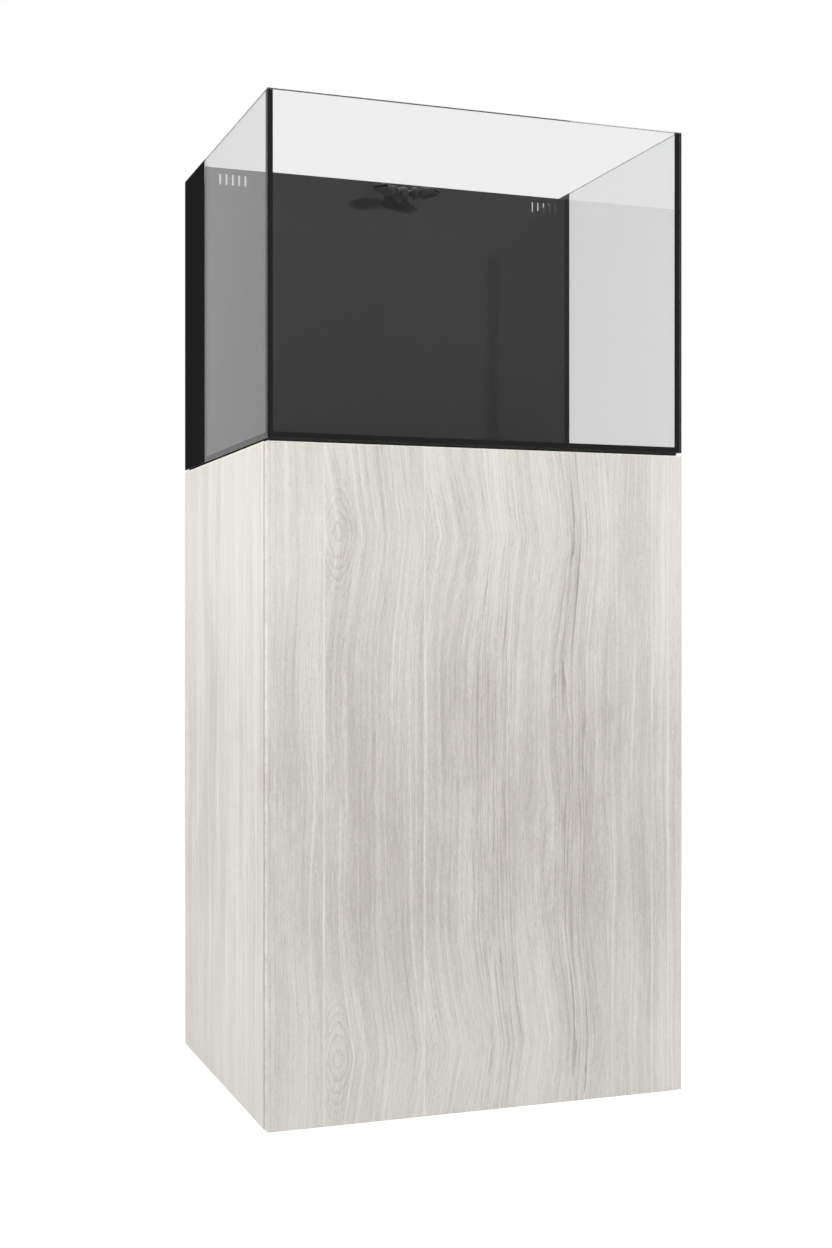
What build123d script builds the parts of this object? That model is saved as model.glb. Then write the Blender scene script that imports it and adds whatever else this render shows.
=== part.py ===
from build123d import *
import math
import os

# Rimless all-in-one aquarium on a handleless cabinet. Millimetres, +Z up, front towards -Y.
# The origin is the middle of the footprint, on the floor.

# ---- Driving dimensions: the whole object ----
WIDTH = 600.0
DEPTH = 500.0
CABINET_H = 892.0
TANK_H = 450.0
FOOT_LIFT = 4.0

# ---- Driving dimensions: tank ----
GLASS_T = 8.0
BOND_T = 1.0
FILM_T = 0.2
FILM_START = 1.0
MAT_T = 3.0
MAT_INSET = 6.0
EDGE_GRIND = 0.5
CORNER_BEAD = 0.5
BASE_BEAD = 0.5
PARTITION_T = 6.0
PARTITION_DROP = 10.0
PARTITION_BEAD = 5.0
SLOT_W = 3.7
SLOT_H = 20.0
SLOT_PITCH = 9.6
SLOT_COUNT = 5
SLOT_DROP = 7.0
SLOT_GROUP_INSET = 50.0

# ---- Driving dimensions: filter chamber ----
SOCK_SIDE_ROOM = 9.0
SOCK_DEPTH_ROOM = 11.8
BAFFLE_T = 5.0
BAFFLE_DROP = 25.0
WINDOW_W = 80.0
WINDOW_H = 60.0
TRAY_DROP = 50.0
TRAY_T = 5.0
TRAY_GAP = 0.5
LEDGE_W = 9.0
LEDGE_H = 6.0
SOCK_R = 48.0
SOCK_L = 180.0
SOCK_T = 1.6
SOCK_FLANGE_T = 3.0
SOCK_FLANGE_W = 5.0
SOCK_COLLAR_T = 2.5
SOCK_COLLAR_H = 16.0
SOCK_GAP = 1.0
SOCK_HANDLE_R = 1.4
SOCK_HANDLE_H = 26.0
SPONGE_T = 30.0
SPONGE_H = 210.0
SPONGE_GAP = 0.5
RAIL_W = 6.0

# ---- Driving dimensions: return pump, hose and outlet ----
PUMP_Y_FROM_PARTITION = 64.0
PUMP_MOTOR_L = 66.0
PUMP_MOTOR_W = 56.0
PUMP_MOTOR_H = 58.0
VOLUTE_R = 27.0
VOLUTE_L = 20.0
PUMP_WALL = 3.0
PUMP_CORNER_R = 7.0
ROTOR_R = 9.0
ROTOR_L = 34.0
ROTOR_GAP = 1.0
SHAFT_R = 1.5
SHAFT_GAP = 0.06
DISC_T = 3.0
HUB_WALL = 2.5
VANES = 6
VANE_T = 2.0
VANE_L = 9.0
SPOKES = 3
SPOKE_W = 2.4
SPIDER_WALL = 2.0
PUMP_FOOT_H = 7.0
PUMP_FOOT_R = 7.0
PUMP_FOOT_INSET = 14.0
PUMP_FOOT_HALF_TRACK = 16.0
STRAINER_L = 26.0
STRAINER_WALL = 2.0
STRAINER_SLOTS = 12
STRAINER_SLOT_W = 4.4
STRAINER_SLOT_INSET = 5.0
GLAND_R = 6.0
GLAND_T = 5.0
GLAND_NOSE_R = 5.0
GLAND_TIP_R = 3.5
GLAND_NOSE_L = 9.0
CORD_R = 2.2
SPIGOT_R = 8.0
SPIGOT_L = 20.0
HOSE_R = 10.5
HOSE_GAP = 0.1
HOSE_BEND_R = 34.0
HOSE_CLIP_W = 8.0
HOSE_CLIP_T = 1.2
HOSE_CLIP_LOW_L = 6.0
HOSE_CLIP_HIGH_L = 3.0
CLIP_SCREW_R = 2.5
CLIP_SCREW_L = 9.0
OUTLET_DROP = 32.0
BULKHEAD_R = 12.0
BULKHEAD_FLANGE_R = 17.0
BULKHEAD_FLANGE_T = 4.0
BULKHEAD_HOLE_GAP = 0.5
BULKHEAD_THREAD_L = 16.0
BULKHEAD_NUT_T = 8.0
BULKHEAD_TAIL_L = 12.0
BULKHEAD_NECK_R = 6.4
BULKHEAD_NECK_L = 2.0
GASKET_R = 16.0
GASKET_T = 1.5
WATERWAY_R = 5.5
OUTLET_BALL_R = 9.0
ARM_BALL_R = 6.5
BALL_GAP = 0.2
SOCKET_WALL = 2.3
RIB_H = 0.7
RIBS = 3
ARM_SPREAD = 80.0
ARM_BEND = -18.0
FLARE_W = 27.0
FLARE_H = 6.0
FLARE_L = 21.0
FLARE_WALL = 1.5

# ---- Driving dimensions: outlet pieces as shares of their ball's radius ----
RIB_START = 0.15
RIB_PITCH = 0.3
RIB_W = 0.16
SHOULDER_R = 0.72
SHOULDER_L = 0.7
HUB_L = 1.9
HUB_BORE_R = 0.55
ARM_REACH = 1.35
ARM_NECK_R = 0.68
ARM_BORE_R = 0.5
ELBOW_L = 2.3
THROAT_ROOT = 1.2
ROOT_CORNER = 0.45

# ---- Driving dimensions: cabinet ----
PANEL_T = 18.0
BACK_T = 16.0
DOOR_T = 16.0
DOOR_GAP = 2.0
DOOR_REVEAL = 1.0
DOOR_EDGE_R = 1.0
CABLE_HOLE_R = 30.0
CABLE_HOLE_X = 190.0
CABLE_HOLE_DROP = 110.0
GROMMET_T = 2.0
GROMMET_LIP = 5.0
VENT_W = 160.0
VENT_H = 40.0
VENT_CORNER_R = 19.0
CAM_R = 7.5
CAM_L = 12.5
CAM_FROM_END = 34.0
CAM_RECESS_L = 9.0
CAM_RECESS_W = 1.6
CAM_RECESS_DEPTH = 2.0
CAM_BOLT_R = 3.5
CAM_BOLT_DEPTH = 11.0
CAM_BOLT_SHORT = 0.5
CAM_INSET = 70.0
JOINERY_GAP = 0.1
FOOT_R = 16.0
FOOT_SCREW_R = 4.0
FOOT_INSET = 36.0
FOOT_SCREW_L = 15.0
FOOT_KEY_R = 2.3
FOOT_KEY_DEPTH = 5.0
INSERT_R = 6.5
INSERT_FLANGE_R = 11.0
INSERT_FLANGE_T = 1.5

# ---- Driving dimensions: concealed hinges and push latch ----
HINGE_END_INSET = 100.0
CUP_R = 17.5
CUP_DEPTH = 11.5
CUP_WALL = 1.0
CUP_FROM_EDGE = 22.5
CUP_FLANGE_T = 1.0
CUP_WING_IN = 10.5
CUP_WING_OUT = 4.0
CUP_WING_ROOT = 3.0
CUP_WING_L = 9.0
CUP_SCREW_R = 3.0
CUP_SCREW_T = 0.6
CUP_SCREW_IN = 3.0
CUP_SCREW_OUT = 4.5
LINK_PIN_R = 1.4
LINK_T = 2.5
LINK_W = 8.0
LINK_EYE_WALL = 1.475
LINK_GAP = 0.3
ARM_PIN_X_IN = 34.1
ARM_PIN_Y = -2.7
CUP_PIN_X_IN = 10.2
CUP_PIN_Y = -4.2
LINK_KNEE_X_IN = 27.8
LINK_KNEE_Y = -10.3
ARM_W = 12.0
ARM_L = 62.0
ARM_HALF_T = 3.2
ARM_SLOT_FRONT = 6.0
ARM_SLOT_BACK = 7.0
PLATE_L = 44.0
PLATE_H = 50.0
PLATE_T = 9.0
PLATE_OVERHANG = 4.0
PLATE_WING_T = 2.0
PLATE_WING_W = 18.0
PLATE_SCREW_R = 3.5
PLATE_SCREW_T = 1.2
PLATE_SCREW_INSET = 8.0
LATCH_W = 14.0
LATCH_L = 70.0
LATCH_H = 12.0
LATCH_FROM_SIDE = 60.0
LATCH_SETBACK = 2.0
LATCH_END_WALL = 4.0
PLUNGER_R = 4.0
PLUNGER_HELD_L = 30.0
PLUNGER_EASE = 0.5
SPRING_R = 3.5
SPRING_WALL = 0.9
LATCH_TRAVEL = 3.0
STRIKE_R = 5.0
STRIKE_T = 1.2

# How far one shape of a piece reaches into its neighbour so that they join
OVERLAP = 1.0

# ---- Places that follow from the driving dimensions ----
HALF_W = WIDTH / 2
FRONT_Y = -DEPTH / 2
BACK_Y = DEPTH / 2
CABINET_TOP = FOOT_LIFT + CABINET_H
TANK_Z = CABINET_TOP + MAT_T
RIM_Z = TANK_Z + TANK_H
GLASS_X = HALF_W - FILM_T
GLASS_BACK = BACK_Y - FILM_T
INNER_X = GLASS_X - GLASS_T
INNER_FRONT = FRONT_Y + GLASS_T
INNER_BACK = GLASS_BACK - GLASS_T
TANK_FLOOR = TANK_Z + GLASS_T
SOCK_RING_R = SOCK_R + SOCK_COLLAR_T + SOCK_FLANGE_W
PARTITION_BACK = INNER_BACK - 2 * SOCK_RING_R - SOCK_DEPTH_ROOM
PARTITION_Y = PARTITION_BACK - PARTITION_T
PARTITION_TOP = RIM_Z - PARTITION_DROP
CHAMBER_Y = (PARTITION_BACK + INNER_BACK) / 2
BAFFLE_X = INNER_X - 2 * SOCK_RING_R - SOCK_SIDE_ROOM
SOCK_X = (INNER_X + BAFFLE_X) / 2
TRAY_Z = RIM_Z - TRAY_DROP
OUTLET_Z = RIM_Z - OUTLET_DROP
PUMP_Y = PARTITION_BACK + PUMP_Y_FROM_PARTITION
PUMP_Z = TANK_FLOOR + PUMP_FOOT_H + PUMP_MOTOR_H / 2
IMPELLER_R = VOLUTE_R - PUMP_WALL - ROTOR_GAP
DOOR_BACK = FRONT_Y + DOOR_T
CARCASS_Y = DOOR_BACK + DOOR_GAP
PANEL_IN_X = HALF_W - PANEL_T
FLOOR_PANEL_Z = FOOT_LIFT
ROOF_PANEL_Z = CABINET_TOP - PANEL_T
DOOR_Z = FOOT_LIFT + DOOR_REVEAL
DOOR_TOP = CABINET_TOP - DOOR_REVEAL
CUP_X = HALF_W - CUP_FROM_EDGE
HINGE_Z = (
    FOOT_LIFT + HINGE_END_INSET,
    FOOT_LIFT + CABINET_H / 2,
    CABINET_TOP - HINGE_END_INSET,
)
ARM_PIN = (HALF_W - ARM_PIN_X_IN, CARCASS_Y + ARM_PIN_Y)
CUP_PIN = (HALF_W - CUP_PIN_X_IN, CARCASS_Y + CUP_PIN_Y)
LINK_KNEE = (HALF_W - LINK_KNEE_X_IN, CARCASS_Y + LINK_KNEE_Y)
SIDES = (-1, 1)
BASE = (Align.CENTER, Align.CENTER, Align.MIN)

NODES = {}


def node(name, *shapes):
    """Keep the solids of one named piece, or of one group of equal pieces."""
    NODES[name] = [solid for shape in shapes for solid in shape.solids()]


def slab(x, y, z):
    """Box between the low and high limits given for X, Y and Z."""
    size = [high - low for low, high in (x, y, z)]
    centre = [(high + low) / 2 for low, high in (x, y, z)]
    return Pos(*centre) * Box(*size)


def rod(radius, length, start, direction):
    """Cylinder that starts at a point and runs along a direction."""
    return Plane(origin=start, z_dir=direction) * Cylinder(radius, length, align=BASE)


def tube(outer, inner, length, start, direction):
    """Hollow cylinder that starts at a point and runs along a direction."""
    return rod(outer, length, start, direction) - rod(inner, length, start, direction)


def prism(points, low, high):
    """Upright prism on an XY outline, between two heights."""
    outline = make_face(Polyline(*points, close=True))
    return extrude(Pos(0, 0, low) * outline, amount=high - low)


def ordered(side, value):
    """Limits of a stretch that is mirrored to the left for side -1."""
    return tuple(sorted((side * value[0], side * value[1])))


# ---- Tank ----

def tank_panes():
    """Five glass panes: front and back full width, sides between them, base inside all four."""
    upright = (TANK_Z, RIM_Z)
    side_y = (INNER_FRONT + BOND_T, INNER_BACK - BOND_T)
    front = slab((-GLASS_X, GLASS_X), (FRONT_Y, INNER_FRONT), upright)
    back = slab((-GLASS_X, GLASS_X), (INNER_BACK, GLASS_BACK), upright)
    node("front_pane", chamfer(front.edges(), EDGE_GRIND))
    node("back_pane", chamfer(back.edges(), EDGE_GRIND))
    for side, name in zip(SIDES, ("left_pane", "right_pane")):
        pane = slab(ordered(side, (INNER_X, GLASS_X)), side_y, upright)
        node(name, chamfer(pane.edges(), EDGE_GRIND))
    base_x = INNER_X - BOND_T
    base = slab((-base_x, base_x), side_y, (TANK_Z, TANK_FLOOR))
    node("bottom_pane", chamfer(base.edges().filter_by(Axis.Z), EDGE_GRIND))


def corner_seam(side, wall_y, inward):
    """Silicone in one upright corner: the bond behind the side pane's end and an inner bead."""
    bond = slab(
        ordered(side, (INNER_X, GLASS_X - EDGE_GRIND)),
        tuple(sorted((wall_y, wall_y + inward * BOND_T))),
        (TANK_Z + EDGE_GRIND, RIM_Z - EDGE_GRIND),
    )
    bead_leg = BOND_T + CORNER_BEAD
    bead = prism(
        [
            (side * INNER_X, wall_y),
            (side * (INNER_X - CORNER_BEAD), wall_y),
            (side * INNER_X, wall_y + inward * bead_leg),
        ],
        TANK_FLOOR + BASE_BEAD,
        RIM_Z - EDGE_GRIND,
    )
    return bond + bead


def tank_seams():
    """Black silicone: four corners, a ring round the base and the seams of the partition."""
    corners = [corner_seam(side, INNER_FRONT, 1) for side in SIDES]
    corners += [corner_seam(side, INNER_BACK, -1) for side in SIDES]

    base_x = INNER_X - BOND_T
    ring = slab((-INNER_X, INNER_X), (INNER_FRONT, INNER_BACK), (TANK_Z + EDGE_GRIND, TANK_FLOOR))
    ring -= slab(
        (-base_x, base_x), (INNER_FRONT + BOND_T, INNER_BACK - BOND_T), (TANK_Z, TANK_FLOOR)
    )
    bead_block = slab(
        (-INNER_X, INNER_X), (INNER_FRONT, PARTITION_Y), (TANK_FLOOR, TANK_FLOOR + BASE_BEAD)
    )
    display_d = PARTITION_Y - INNER_FRONT
    inside = Rectangle(2 * (base_x - BASE_BEAD), display_d - 2 * (BOND_T + BASE_BEAD))
    middle = Pos(0, (INNER_FRONT + PARTITION_Y) / 2, TANK_FLOOR)
    bead_block -= extrude(middle * inside, amount=BASE_BEAD, taper=-40)
    node("tank_seams", ring + bead_block, *corners)

    seams = []
    for side in SIDES:
        bond = slab(
            ordered(side, (INNER_X - BOND_T, INNER_X)),
            (PARTITION_Y, PARTITION_BACK),
            (TANK_FLOOR, PARTITION_TOP),
        )
        bead = prism(
            [
                (side * INNER_X, PARTITION_Y),
                (side * (INNER_X - BOND_T - PARTITION_BEAD), PARTITION_Y),
                (side * INNER_X, PARTITION_Y - PARTITION_BEAD),
            ],
            TANK_FLOOR + BASE_BEAD,
            PARTITION_TOP,
        )
        seams.append(bond + bead)
        baffle_x = ordered(side, (BAFFLE_X - BAFFLE_T, BAFFLE_X))
        seam_z = (TANK_FLOOR, RIM_Z - BAFFLE_DROP)
        seams.append(slab(baffle_x, (PARTITION_BACK, PARTITION_BACK + BOND_T), seam_z))
        seams.append(slab(baffle_x, (INNER_BACK - BOND_T, INNER_BACK), seam_z))
    node("partition_seams", *seams)


def rear_film():
    """Matt black film on the outside of the filter chamber's three walls."""
    side_z = (TANK_Z, RIM_Z)
    side_y = (PARTITION_Y + FILM_START, GLASS_BACK)
    films = [slab(ordered(side, (GLASS_X, HALF_W)), side_y, side_z) for side in SIDES]
    films.append(slab((-GLASS_X, GLASS_X), (GLASS_BACK, BACK_Y), side_z))
    node("rear_film", *films)


def levelling_mat():
    """Foam mat between the cabinet and the tank, set in from the edges."""
    half_x = HALF_W - MAT_INSET
    mat_y = (FRONT_Y + MAT_INSET, BACK_Y - MAT_INSET)
    node("levelling_mat", slab((-half_x, half_x), mat_y, (CABINET_TOP, TANK_Z)))


def overflow_slot(x):
    """Cutter for one upright, round-ended slot of a weir comb."""
    centre = Pos(x, PARTITION_Y + PARTITION_T / 2, PARTITION_TOP - SLOT_DROP - SLOT_H / 2)
    outline = SlotOverall(SLOT_H, SLOT_W, rotation=90)
    return centre * Rot(90, 0, 0) * extrude(outline, amount=PARTITION_T, both=True)


def partition():
    """Black panel between display and filter, with a weir comb at each end and the return hole."""
    half_x = INNER_X - BOND_T
    panel = slab((-half_x, half_x), (PARTITION_Y, PARTITION_BACK), (TANK_FLOOR, PARTITION_TOP))
    for side in SIDES:
        for index in range(SLOT_COUNT):
            offset = (index - (SLOT_COUNT - 1) / 2) * SLOT_PITCH
            panel -= overflow_slot(side * (HALF_W - SLOT_GROUP_INSET) + offset)
    hole = rod(
        BULKHEAD_R + BULKHEAD_HOLE_GAP, PARTITION_T, (0, PARTITION_Y, OUTLET_Z), (0, 1, 0)
    )
    node("overflow_partition", panel - hole)


def baffles():
    """Two black walls that make the sock chambers, each with a window at its foot."""
    walls = []
    wall_y = (PARTITION_BACK + BOND_T, INNER_BACK - BOND_T)
    for side in SIDES:
        wall_x = ordered(side, (BAFFLE_X - BAFFLE_T, BAFFLE_X))
        wall = slab(wall_x, wall_y, (TANK_FLOOR, RIM_Z - BAFFLE_DROP))
        window_y = (CHAMBER_Y - WINDOW_W / 2, CHAMBER_Y + WINDOW_W / 2)
        wall -= slab(wall_x, window_y, (TANK_FLOOR, TANK_FLOOR + WINDOW_H))
        walls.append(wall)
    node("chamber_baffles", *walls)


# ---- Filter chamber ----

def sock_holders():
    """Trays, rings and felt socks of the two sock chambers. Gives the ledges under the trays."""
    ledges = []
    trays = []
    tray_hole_r = SOCK_R + SOCK_COLLAR_T + SOCK_GAP
    for side, word in zip(SIDES, ("left", "right")):
        ledge_x = ordered(side, (BAFFLE_X + TRAY_GAP, INNER_X - BOND_T - CORNER_BEAD))
        ledge_z = (TRAY_Z - TRAY_T - LEDGE_H, TRAY_Z - TRAY_T)
        ledges.append(slab(ledge_x, (PARTITION_BACK, PARTITION_BACK + LEDGE_W), ledge_z))
        ledges.append(slab(ledge_x, (INNER_BACK - LEDGE_W, INNER_BACK), ledge_z))

        tray = slab(
            ordered(side, (BAFFLE_X + TRAY_GAP, INNER_X - TRAY_GAP)),
            (PARTITION_BACK + TRAY_GAP, INNER_BACK - BOND_T - CORNER_BEAD - TRAY_GAP),
            (TRAY_Z - TRAY_T, TRAY_Z),
        )
        middle = (side * SOCK_X, CHAMBER_Y, TRAY_Z)
        trays.append(tray - rod(tray_hole_r, TRAY_T, middle, (0, 0, -1)))

        top = Pos(*middle)
        ring = top * Cylinder(SOCK_RING_R, SOCK_FLANGE_T, align=BASE)
        ring += rod(SOCK_R + SOCK_COLLAR_T, SOCK_COLLAR_H, middle, (0, 0, -1))
        bore = SOCK_COLLAR_H + SOCK_FLANGE_T
        ring -= rod(SOCK_R, bore, (middle[0], middle[1], TRAY_Z + SOCK_FLANGE_T), (0, 0, -1))
        handle_r = SOCK_R + SOCK_COLLAR_T / 2
        arch = ThreePointArc(
            (middle[0] - handle_r, middle[1], TRAY_Z + SOCK_FLANGE_T / 2),
            (middle[0], middle[1], TRAY_Z + SOCK_HANDLE_H),
            (middle[0] + handle_r, middle[1], TRAY_Z + SOCK_FLANGE_T / 2),
        )
        handle = sweep(Plane(origin=arch @ 0, z_dir=arch % 0) * Circle(SOCK_HANDLE_R), path=arch)
        node(f"{word}_sock_ring", ring + handle)

        outer = felt_bag(SOCK_R - BALL_GAP, SOCK_L)
        inner = felt_bag(SOCK_R - BALL_GAP - SOCK_T, SOCK_L - SOCK_T)
        node(f"{word}_filter_sock", top * (outer - inner))
    node("sock_trays", *trays)
    return ledges


def felt_bag(radius, length):
    """Round-bottomed bag that hangs down from the origin, as a solid."""
    bag = rod(radius, length, (0, 0, 0), (0, 0, -1))
    edge = bag.edges().sort_by(Axis.Z)[0]
    return fillet(edge, radius / 2)


def sponges():
    """Foam blocks in front of the baffles' windows. Gives the rails that they slide between."""
    rails = []
    for side, word in zip(SIDES, ("left", "right")):
        high_x = BAFFLE_X - BAFFLE_T - SPONGE_GAP
        block = slab(
            ordered(side, (high_x - SPONGE_T, high_x)),
            (PARTITION_BACK + SPONGE_GAP, INNER_BACK - SPONGE_GAP),
            (TANK_FLOOR, TANK_FLOOR + SPONGE_H),
        )
        node(f"{word}_filter_sponge", block)
        rail_high = high_x - SPONGE_T - SPONGE_GAP
        rail_x = ordered(side, (rail_high - RAIL_W, rail_high))
        rail_z = (TANK_FLOOR, TANK_FLOOR + SPONGE_H)
        rails.append(slab(rail_x, (PARTITION_BACK, PARTITION_BACK + RAIL_W), rail_z))
        rails.append(slab(rail_x, (INNER_BACK - RAIL_W, INNER_BACK), rail_z))
    return rails


# ---- Return pump and plumbing ----

def pump():
    """Submersible pump under the return hose: motor block, volute, rotor, strainer and feet."""
    axis = (1, 0, 0)
    volute_x = -VOLUTE_L / 2
    motor_x = VOLUTE_L / 2
    motor = slab(
        (motor_x, motor_x + PUMP_MOTOR_L),
        (PUMP_Y - PUMP_MOTOR_W / 2, PUMP_Y + PUMP_MOTOR_W / 2),
        (PUMP_Z - PUMP_MOTOR_H / 2, PUMP_Z + PUMP_MOTOR_H / 2),
    )
    motor = fillet(motor.edges(), PUMP_CORNER_R)
    body = motor + rod(VOLUTE_R, VOLUTE_L + PUMP_WALL, (volute_x, PUMP_Y, PUMP_Z), axis)
    body += rod(SPIGOT_R, VOLUTE_R + SPIGOT_L, (0, PUMP_Y, PUMP_Z), (0, 0, 1))
    body -= rod(VOLUTE_R - PUMP_WALL, VOLUTE_L, (volute_x, PUMP_Y, PUMP_Z), axis)
    rotor_space = ROTOR_L + 2 * ROTOR_GAP
    body -= rod(ROTOR_R + ROTOR_GAP, rotor_space, (motor_x, PUMP_Y, PUMP_Z), axis)
    body -= rod(SHAFT_R, PUMP_WALL, (motor_x + rotor_space, PUMP_Y, PUMP_Z), axis)
    body -= rod(WATERWAY_R, VOLUTE_R + SPIGOT_L, (0, PUMP_Y, PUMP_Z), (0, 0, 1))
    node("pump_body", body)

    disc_x = motor_x - ROTOR_GAP
    disc = rod(IMPELLER_R, DISC_T, (disc_x - DISC_T, PUMP_Y, PUMP_Z), axis)
    rotor = disc + rod(ROTOR_R, ROTOR_L + ROTOR_GAP, (disc_x, PUMP_Y, PUMP_Z), axis)
    hub_l = VOLUTE_L - DISC_T - 2 * ROTOR_GAP
    hub_r = SHAFT_R + HUB_WALL
    rotor += rod(hub_r, hub_l, (disc_x - DISC_T - hub_l, PUMP_Y, PUMP_Z), axis)
    vane = slab(
        (disc_x - DISC_T - VANE_L, disc_x - DISC_T),
        (-VANE_T / 2, VANE_T / 2),
        (hub_r - OVERLAP, IMPELLER_R - OVERLAP),
    )
    for index in range(VANES):
        turn = Pos(0, PUMP_Y, PUMP_Z) * Rot(360.0 / VANES * index, 0, 0)
        rotor += turn * vane
    rotor -= rod(SHAFT_R + SHAFT_GAP, VOLUTE_L + ROTOR_L, (volute_x, PUMP_Y, PUMP_Z), axis)
    node("pump_impeller", rotor)

    cover_x = volute_x - PUMP_WALL
    cover = rod(VOLUTE_R, PUMP_WALL, (cover_x, PUMP_Y, PUMP_Z), axis)
    cover -= rod(VOLUTE_R / 2, PUMP_WALL, (cover_x, PUMP_Y, PUMP_Z), axis)
    spider_r = SHAFT_R + SPIDER_WALL
    spider = rod(spider_r, PUMP_WALL, (cover_x, PUMP_Y, PUMP_Z), axis)
    spoke = slab(
        (cover_x, cover_x + PUMP_WALL),
        (-SPOKE_W / 2, SPOKE_W / 2),
        (spider_r - OVERLAP, VOLUTE_R / 2 + OVERLAP),
    )
    for index in range(SPOKES):
        spider += Pos(0, PUMP_Y, PUMP_Z) * Rot(360.0 / SPOKES * index, 0, 0) * spoke
    spider -= rod(SHAFT_R, PUMP_WALL, (cover_x, PUMP_Y, PUMP_Z), axis)
    shaft_l = PUMP_WALL + VOLUTE_L + rotor_space + PUMP_WALL
    node("pump_shaft", rod(SHAFT_R, shaft_l, (cover_x, PUMP_Y, PUMP_Z), axis))

    cage_x = cover_x - STRAINER_L
    cage = rod(VOLUTE_R, STRAINER_L, (cage_x, PUMP_Y, PUMP_Z), axis)
    cage_l = STRAINER_L - STRAINER_WALL
    cage_start = (cage_x + STRAINER_WALL, PUMP_Y, PUMP_Z)
    cage -= rod(VOLUTE_R - STRAINER_WALL, cage_l, cage_start, axis)
    slit = slab(
        (cage_x + STRAINER_SLOT_INSET, cover_x - STRAINER_SLOT_INSET),
        (-STRAINER_SLOT_W / 2, STRAINER_SLOT_W / 2),
        (VOLUTE_R - STRAINER_SLOT_INSET, VOLUTE_R + STRAINER_SLOT_INSET),
    )
    for index in range(STRAINER_SLOTS):
        turn = Rot(360.0 / STRAINER_SLOTS * (index + 0.5), 0, 0)
        cage -= Pos(0, PUMP_Y, PUMP_Z) * turn * slit
    node("pump_strainer", cover + spider + cage)

    feet = []
    for x in (motor_x + PUMP_FOOT_INSET, motor_x + PUMP_MOTOR_L - PUMP_FOOT_INSET):
        for y in (PUMP_Y - PUMP_FOOT_HALF_TRACK, PUMP_Y + PUMP_FOOT_HALF_TRACK):
            cup = Cone(PUMP_FOOT_R, PUMP_FOOT_R / 2, PUMP_FOOT_H, align=BASE)
            feet.append(Pos(x, y, TANK_FLOOR) * cup)
    node("pump_feet", *feet)

    gland_x = motor_x + PUMP_MOTOR_L
    gland = rod(GLAND_R, GLAND_T, (gland_x, PUMP_Y, PUMP_Z), axis)
    nose = Cone(GLAND_NOSE_R, GLAND_TIP_R, GLAND_NOSE_L, align=BASE)
    gland += Pos(gland_x + GLAND_T, PUMP_Y, PUMP_Z) * Rot(0, 90, 0) * nose
    cord_start = (gland_x + GLAND_T - OVERLAP, PUMP_Y, PUMP_Z)
    gland -= rod(CORD_R, GLAND_T + GLAND_NOSE_L, cord_start, axis)
    node("pump_cable_gland", gland)


def return_hose():
    """Silicone hose from the pump's spigot up and over to the bulkhead's tail, with two clips."""
    tail_start = PARTITION_BACK + BULKHEAD_THREAD_L
    low = PUMP_Z + VOLUTE_R + HOSE_GAP
    path = FilletPolyline(
        (0, PUMP_Y, low),
        (0, PUMP_Y, OUTLET_Z),
        (0, tail_start + HOSE_GAP, OUTLET_Z),
        radius=HOSE_BEND_R,
    )
    start = Plane(origin=(0, PUMP_Y, low), z_dir=(0, 0, 1))
    hose = sweep(start * Circle(HOSE_R), path=path)
    hose -= sweep(start * Circle(SPIGOT_R + HOSE_GAP), path=path)
    node("return_hose", hose)
    clip_r = HOSE_R + HOSE_GAP
    lower = (0, PUMP_Y, low + HOSE_CLIP_LOW_L)
    upper = (0, tail_start + HOSE_CLIP_HIGH_L, OUTLET_Z)
    clips = []
    ear = (1, 0, 0)
    for place, direction in ((lower, (0, 0, 1)), (upper, (0, 1, 0))):
        band = rod(clip_r + HOSE_CLIP_T, HOSE_CLIP_W, place, direction)
        middle = Vector(*place) + Vector(*direction) * (HOSE_CLIP_W / 2)
        screw = rod(CLIP_SCREW_R, CLIP_SCREW_L, middle + Vector(*ear) * clip_r, ear)
        clips.append(band + screw - rod(clip_r, HOSE_CLIP_W, place, direction))
    node("hose_clips", *clips)


def bulkhead():
    """Fitting through the partition: flange and ball in front, thread, nut and hose tail behind."""
    back = (0, 1, 0)
    flange_y = PARTITION_Y - GASKET_T - BULKHEAD_FLANGE_T
    ball_y = flange_y - OUTLET_BALL_R - BULKHEAD_NECK_L
    fitting = rod(BULKHEAD_FLANGE_R, BULKHEAD_FLANGE_T, (0, flange_y, OUTLET_Z), back)
    thread_l = GASKET_T + PARTITION_T + BULKHEAD_THREAD_L
    fitting += rod(BULKHEAD_R, thread_l, (0, PARTITION_Y - GASKET_T, OUTLET_Z), back)
    tail_y = PARTITION_BACK + BULKHEAD_THREAD_L
    fitting += rod(SPIGOT_R, BULKHEAD_TAIL_L, (0, tail_y, OUTLET_Z), back)
    neck_l = flange_y - ball_y
    fitting += rod(BULKHEAD_NECK_R, neck_l, (0, ball_y, OUTLET_Z), back)
    fitting += Pos(0, ball_y, OUTLET_Z) * Sphere(OUTLET_BALL_R)
    bore_l = tail_y + BULKHEAD_TAIL_L - ball_y + OUTLET_BALL_R
    fitting -= rod(WATERWAY_R, bore_l, (0, ball_y - OUTLET_BALL_R, OUTLET_Z), back)
    node("bulkhead_fitting", fitting)

    gasket_start = (0, PARTITION_Y - GASKET_T, OUTLET_Z)
    gasket = tube(GASKET_R, BULKHEAD_R + HOSE_GAP, GASKET_T, gasket_start, back)
    node("bulkhead_gasket", gasket)
    nut_plane = Plane(origin=(0, PARTITION_BACK, OUTLET_Z), x_dir=(1, 0, 0), z_dir=back)
    nut = extrude(nut_plane * RegularPolygon(BULKHEAD_FLANGE_R, 6), amount=BULKHEAD_NUT_T)
    nut -= rod(BULKHEAD_R + HOSE_GAP, BULKHEAD_NUT_T, (0, PARTITION_BACK, OUTLET_Z), back)
    node("bulkhead_nut", nut)
    return ball_y


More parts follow.
